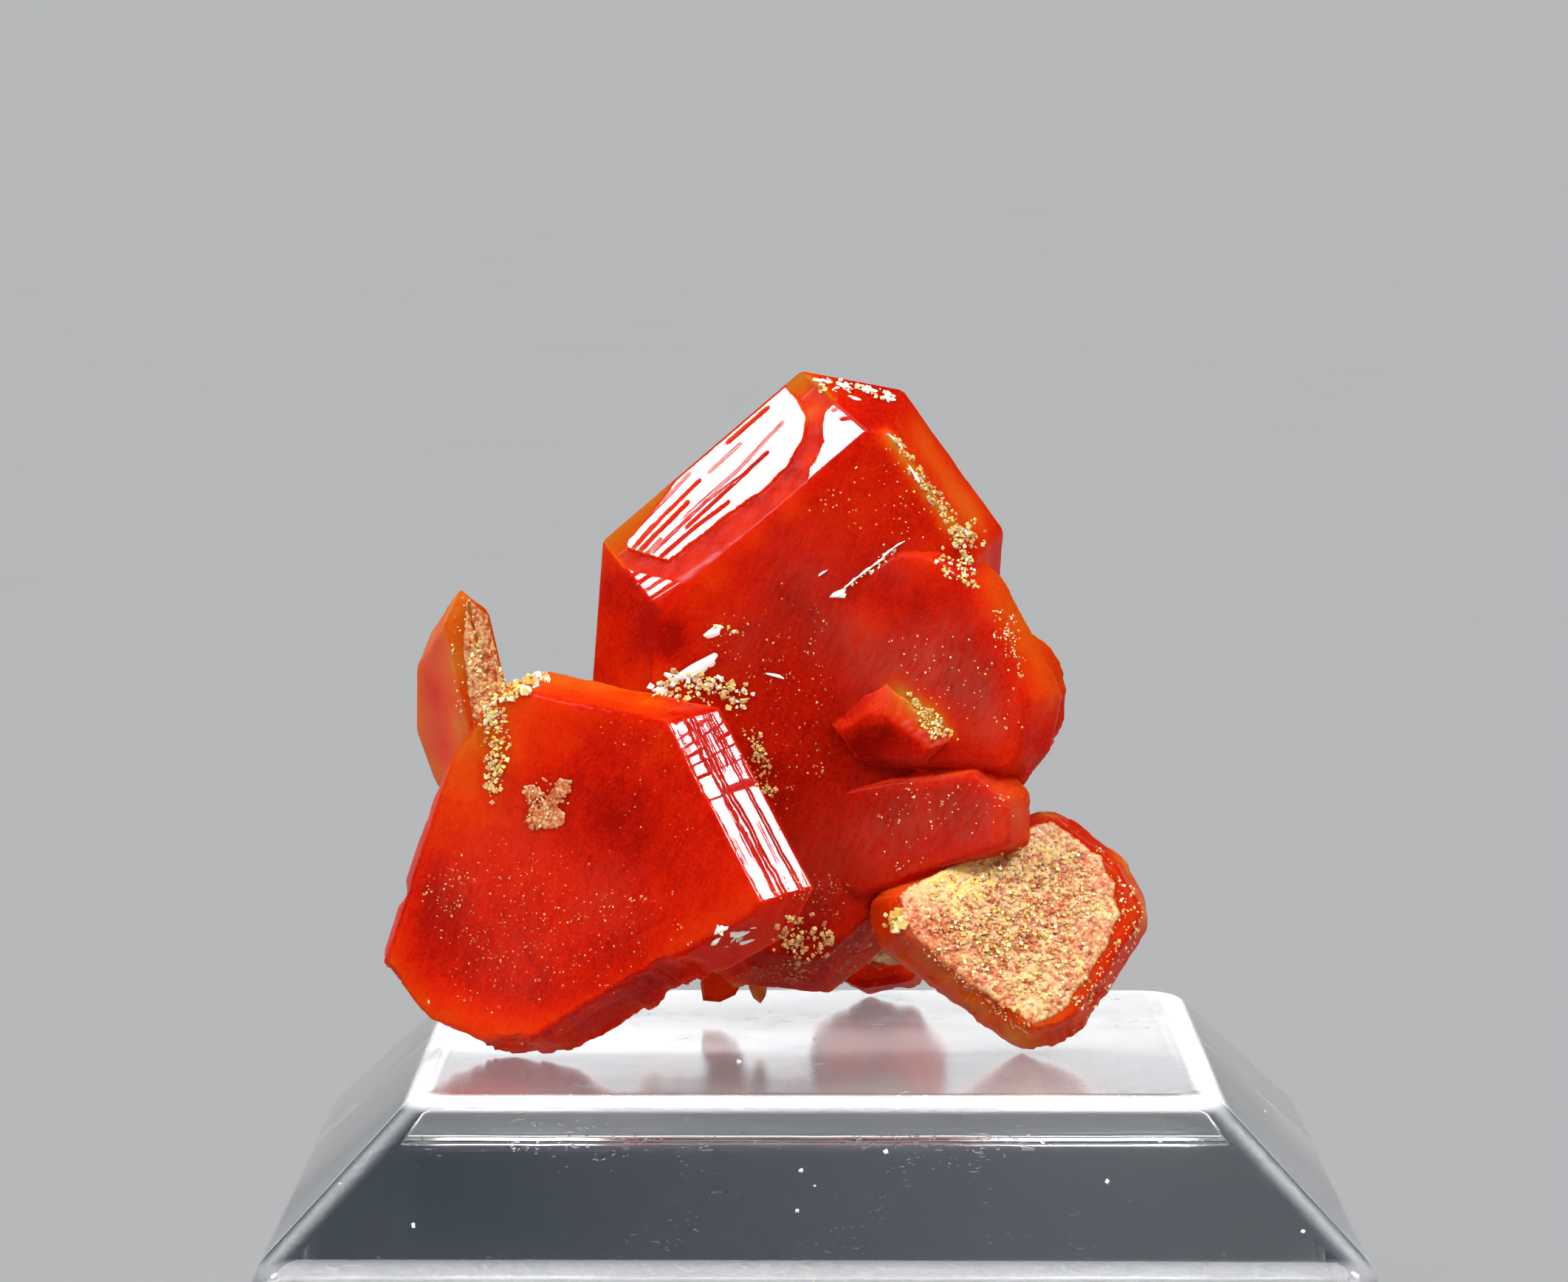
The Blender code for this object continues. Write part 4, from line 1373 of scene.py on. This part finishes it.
def tabular(name, rows, seed):
    """Small tabular crystals as one object, each roughly on edge on what bears it.

    rows are (place, normal, size).
    """
    draw = np.random.default_rng(seed)
    sides = 8
    angles = np.arange(sides) * TAU / sides + pi / sides
    points, faces, thin = [], [], []
    for place, normal, size in rows:
        side, over, up = (axis[0] for axis in frames(np.array([normal]), 0.45, draw))
        stretch = 1 + 0.18 * draw.choice([-1, 1], sides) * draw.random(sides)
        half = size * draw.uniform(0.06, 0.13)
        first = len(points)
        for level, reach in ((-half, 0.78), (0.0, 1.0), (half, 0.78)):
            for angle, longer in zip(angles, stretch):
                across = side * cos(angle) + up * sin(angle)
                points.append(place + up * size * 0.22 + across * reach * longer * size / 2 + over * level)
        faces += band(first, sides) + band(first + sides, sides)
        faces += [range(first, first + sides), range(first + 2 * sides, first + 3 * sides)[::-1]]
        thin += [draw.uniform(0.15, 0.6)] * 3 * sides
    obj = new_object(name, points, faces)
    outward(obj)
    store(obj, "thin", np.array(thin))
    return obj


MATRIX_CENTRE, MATRIX_HALF_SIZE = np.array((-0.9, 4.4, 18.6)), np.array((5.0, 5.0, 4.4))
BLOCKS, FINE_GRAINS = 320, 7000


def waves_in(points, length, seed):
    """Smooth unevenness in space, its bumps some length apart."""
    draw = np.random.default_rng(seed)
    total = np.zeros(len(points))
    for _ in range(14):
        way = draw.normal(0, 1, 3)
        way *= TAU / (length * draw.uniform(0.7, 1.6)) / np.linalg.norm(way)
        total += np.sin(points @ way + draw.uniform(0, TAU))
    return total / 5.0


def matrix_lump():
    """The rock behind the crystals: a lump of grown-together grains, cut where they stand in it."""
    bm = bmesh.new()
    bmesh.ops.create_icosphere(bm, subdivisions=7, radius=1.0)
    unit = np.array([v.co for v in bm.verts])
    faces = [[v.index for v in face.verts] for face in bm.faces]
    bm.free()
    draw = np.random.default_rng(71)
    out = unit / (np.abs(unit) ** 3).sum(axis=1)[:, None] ** (1 / 3)
    points = out * MATRIX_HALF_SIZE * 0.93
    points *= 1 + 0.13 * waves_in(points, 5.5, 1)[:, None] + 0.05 * waves_in(points, 1.8, 2)[:, None]
    coarse = points[draw.choice(len(points), BLOCKS, replace=False)]
    _, _, block = nearest_two(points, coarse)
    slope = draw.normal(0, 0.22, (BLOCKS, 3))
    tilted = ((points - coarse[block]) * slope[block]).sum(axis=1) + draw.uniform(-0.12, 0.12, BLOCKS)[block]
    points += unit * np.clip(tilted, -0.3, 0.3)[:, None]
    fine = points[draw.choice(len(points), FINE_GRAINS, replace=False)]
    first, second, number = nearest_two(points, fine)
    dome = np.sqrt(np.clip((second - first) / 0.14, 0, 1))
    points += unit * (0.05 * dome * (0.4 + 0.6 * draw.random(FINE_GRAINS)[number]))[:, None]
    tone = draw.uniform(0.05, 0.48, FINE_GRAINS) + 0.10 * waves_in(fine, 2.5, 5)
    tone = tone + (draw.random(FINE_GRAINS) < 0.08) * 0.35
    obj = new_object("matrix_rock", points + MATRIX_CENTRE, faces)
    # Painted shade: each grain's tone is darkened towards the gaps between the grains.
    store(obj, "tone", tone[number] - 0.22 * (1 - dome))
    cutters = ("main_plate", "left_crystal", "right_crystal", "rear_left_crystal", "rear_right_crystal")
    combine(obj, [plain(cutter, CONTACT_GAP) for cutter in cutters], "DIFFERENCE")
    finish_shading(obj, 60)
    return obj


def spots_on(obj, count, keep, seed):
    """Random (place, normal) on the object's faces, in millimetres, where keep(place, normal) holds."""
    draw = np.random.default_rng(seed)
    faces = obj.data.polygons
    area = np.array([face.area for face in faces])
    found = []
    for number in draw.choice(len(faces), count * 12, p=area / area.sum()):
        face = faces[int(number)]
        place, normal = np.array(face.center) / MM, np.array(face.normal)
        if keep(place, normal):
            found.append((place, normal))
        if len(found) == count:
            break
    return found


def dress(obj, look, *nodes):
    """Gives a piece the material of its look, which is a material and a slot name that is not used, and hides
    the nodes that it stands for.
    """
    material, slot = look
    obj.data.materials.append(material)
    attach(obj, "root")
    if nodes:
        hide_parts(*nodes)


def spots_at(rows):
    """The rows' pixels as places on the crystals."""
    found = [(seen_at(surface, pixel)[0], radius, amount) for pixel, radius, amount in rows]
    return [(np.array(place), radius, amount) for place, radius, amount in found if place is not None]


def wavy_ring():
    """The outline of the crust on the main crystal's back, in mm on that face."""
    ring = []
    for angle in np.arange(36) * TAU / 36:
        wide = 2.9 + 1.1 * sin(3 * angle + 1) + 0.5 * sin(7 * angle)
        high = 3.4 + 1.2 * sin(2 * angle) + 0.6 * sin(5 * angle)
        ring.append((wide * cos(angle), -0.8 + high * sin(angle)))
    return ring


ROCK_REACH = (7.4, 7.0, 6.4)  # how far from the rock's middle grains still gather


def near_rock(place, normal):
    """Whether a place on a crystal is by the rock, and not on the side that the photo shows."""
    within = np.linalg.norm((place - MATRIX_CENTRE) / ROCK_REACH) < 1
    return place[1] > -0.5 and within and normal[1] > -0.3


surface = surface_of(crystals.values())
# Places of the painted glow and painted shade spots, and of the painted sheen spots.
painted_glow_and_shade, frost = spots_at(PAINTED_GLOW_AND_SHADE), spots_at(PAINTED_SHEEN)

wulfenite, crust = (crystal_material(), "red_wulfenite"), (crust_material(), "tan_crust")
for node, obj in crystals.items():
    # Thinness plus painted glow and painted shade on each crystal.
    mark_thinness_and_painted_glow(obj, painted_glow_and_shade)
    # Painted sheen: pinkish patches in the colour where the faces would mirror dim light.
    store(obj, "frost", nearness(obj, frost))
    mark_lustre(obj, node)
    dress(obj, wulfenite, node)

rock = matrix_lump()
dress(rock, crust, "matrix")

for name, host, label, ring, tones, accents, seed, spacing, step, thick in (
    ("right_crystal_crust", "right_crystal", "front face", RIGHT_CRUST, (0.18, 0.78),
     RIGHT_ACCENTS, 41, 0.14, 0.055, 0.08),
    ("left_crystal_crust_1", "left_crystal", "front face", LEFT_CRUST, (0.18, 0.55),
     [], 51, 0.11, 0.045, 0.05),
    ("upper_left_crystal_crust_1", "upper_left_crystal", "front 0", SIDE_FRONT_CRUST, (0.15, 0.72),
     SIDE_ACCENTS, 55, 0.11, 0.045, 0.07),
    ("upper_left_crystal_crust_2", "upper_left_crystal", "back 0", SIDE_BACK_CRUST, (0.15, 0.72),
     SIDE_ACCENTS, 56, 0.11, 0.045, 0.07),
    ("main_crystal_crust", "main_plate", "back face", wavy_ring(), (0.05, 0.55),
     [], 57, 0.2, 0.07, 0.12),
):
    dress(crust_sheet(name, host, label, ring, tones, accents, seed, spacing, step, thick), crust)

grains = grains_at(surface, GRAIN_REGIONS, 11)
grains += [
    (place + normal * 0.05, normal, size, tone, flat) for place, normal, size, tone, flat in
    grains_at(surface, [(RIGHT_CRUST, 1300, (0.04, 0.12), (0.10, 0.90), 0.9, 0.2)], 12)
]
dress(chips("crust_grains", grains, 13), crust)
# Pale flakes, partly painted glints.
dress(chips("bright_flakes", grains_at(surface, FLAKE_AND_PAINTED_GLINT_REGIONS, 14), 15), crust)
# White splinters, partly painted glints along the edges.
dress(splinters("bright_splinters", SPLINTERS_AND_PAINTED_GLINTS, 16), crust)

# behind: grains and small crystals where the crystals meet the rock
back = []
draw = np.random.default_rng(21)
for number, obj in enumerate(crystals.values()):
    for place, normal in spots_on(obj, 420, near_rock, 30 + number):
        back.append((place, normal, 0.05 + 0.2 * draw.random() ** 3, draw.uniform(0.1, 0.8), 0.8))
dress(chips("back_grains", back, 22), crust)
bare = spots_on(rock, 80, lambda place, normal: place[1] > 1.2 and normal[1] > -0.5, 23)
druse = [(place, normal, 0.5 + 1.5 * draw.random() ** 2) for place, normal in bare]
dress(tabular("matrix_druse", druse, 24), wulfenite)

stand = acrylic_stand()
dress(stand, (acrylic_material(), "clear_acrylic"), "acrylic_stand")
block = surface_of([stand])
DUST_PIXELS = [
    (1085, 1585), (1080, 1640), (1765, 1668), (1001, 1438), (1200, 1560), (560, 1660), (1500, 1600),
]
dust = []
for pixel in DUST_PIXELS:
    place, normal = seen_at(block, pixel)
    dust.append((np.array(place), np.array(normal), 0.11, 0.97, 0.6))
for place, normal in spots_on(stand, 150, lambda place, normal: place[2] > 0.6, 61):
    dust.append((place, normal, draw.uniform(0.02, 0.06), draw.uniform(0.8, 1.0), 0.5))
dress(chips("stand_dust", dust, 62), (crust[0], "clear_acrylic"))


# ================================================================= stage
LIT_PLACE = Vector((0, 0, 20)) * MM
LIGHT_DISTANCE = 400 * MM
FLOOR_RADIUS, FLOOR_BELOW = 2500 * MM, 0.05 * MM


def camera():
    right, up, forward = camera_axes()
    data = bpy.data.cameras.new("camera")
    data.sensor_width = SENSOR_WIDTH
    data.lens = FOCAL_PIXELS / PHOTO_WIDTH * SENSOR_WIDTH
    data.clip_start, data.clip_end = 0.01, 20.0
    obj = add_object("camera", data)
    axes = Matrix((right, up, -forward)).transposed().to_4x4()
    obj.matrix_world = Matrix.Translation(CAMERA_AT * MM) @ axes
    bpy.context.scene.camera = obj


def lamp(name, kind, direction):
    """A light that looks at the crystals from a direction."""
    direction = Vector(direction).normalized()
    obj = add_object(name, bpy.data.lights.new(name, kind))
    obj.location = LIT_PLACE + direction * LIGHT_DISTANCE
    obj.rotation_mode = "QUATERNION"
    obj.rotation_quaternion = direction.to_track_quat("Z", "Y")
    return obj


def softbox(name, direction, size, radiance, *lit):
    """A rectangle that lights only the objects lit. Its size is in millimetres."""
    obj = lamp(name, "AREA", direction)
    obj.data.shape = "RECTANGLE"
    obj.data.size, obj.data.size_y = size[0] * MM, size[1] * MM
    obj.data.energy = radiance * pi * obj.data.size * obj.data.size_y
    obj.visible_camera = False
    obj.light_linking.receiver_collection = bpy.data.collections.new(f"lit by the {name}")
    for receiver in lit:
        obj.light_linking.receiver_collection.objects.link(receiver)
    return obj


def floor():
    bm = bmesh.new()
    bmesh.ops.create_circle(bm, cap_ends=True, cap_tris=False, segments=96, radius=FLOOR_RADIUS)
    obj = object_from("floor", bm)
    obj.data.materials.append(floor_material())
    obj.location.z = -FLOOR_BELOW
    return obj


def world():
    """A pale band round the horizon under a dim studio, with a bright card low behind."""
    nodes = Nodes(bpy.data.worlds.new("studio"))
    way = nodes.add("ShaderNodeSeparateXYZ", {0: nodes.coordinates["Generated"]}).outputs
    height = nodes.math("MULTIPLY", way["Z"], 4.0)
    pale, dim, white, black = (0.470, 0.476, 0.482), (0.045, 0.055, 0.07), (2.2, 2.22, 2.26), (0.0,) * 3
    studio = nodes.ramp(height, [(0.0, pale), (0.24, pale), (0.64, dim)])
    card = nodes.ramp(height, [(0.22, black), (0.34, white), (0.565, white), (0.62, black)])
    behind = nodes.greys(way["Y"], 0.90, 0.96)
    light = nodes.mix(1.0, studio, nodes.mix(1.0, card, behind, "MULTIPLY"), "ADD")
    nodes.set(nodes.tree.nodes["Background"].inputs["Color"], light)
    bpy.context.scene.world = nodes.owner


camera()
floor()
world()
overhead = lamp("overhead light", "SUN", (-0.1, -0.6, 0.79))
overhead.data.energy, overhead.data.angle = 2.2, radians(50)
pieces = [obj for obj in bpy.context.scene.objects if obj.type == "MESH" and obj.name != "floor"]
softbox("left softbox", (-0.628, -0.473, 0.618), (60, 60), 105.0, *pieces)
softbox("right softbox", (0.584, -0.434, 0.686), (60, 60), 105.0, *pieces)
edge_light = softbox("edge light", (0.0, 0.36, 0.93), (600, 170), 14.0, stand)
edge_light.visible_transmission = edge_light.visible_glossy = False
bpy.context.scene.view_settings.view_transform = "Standard"
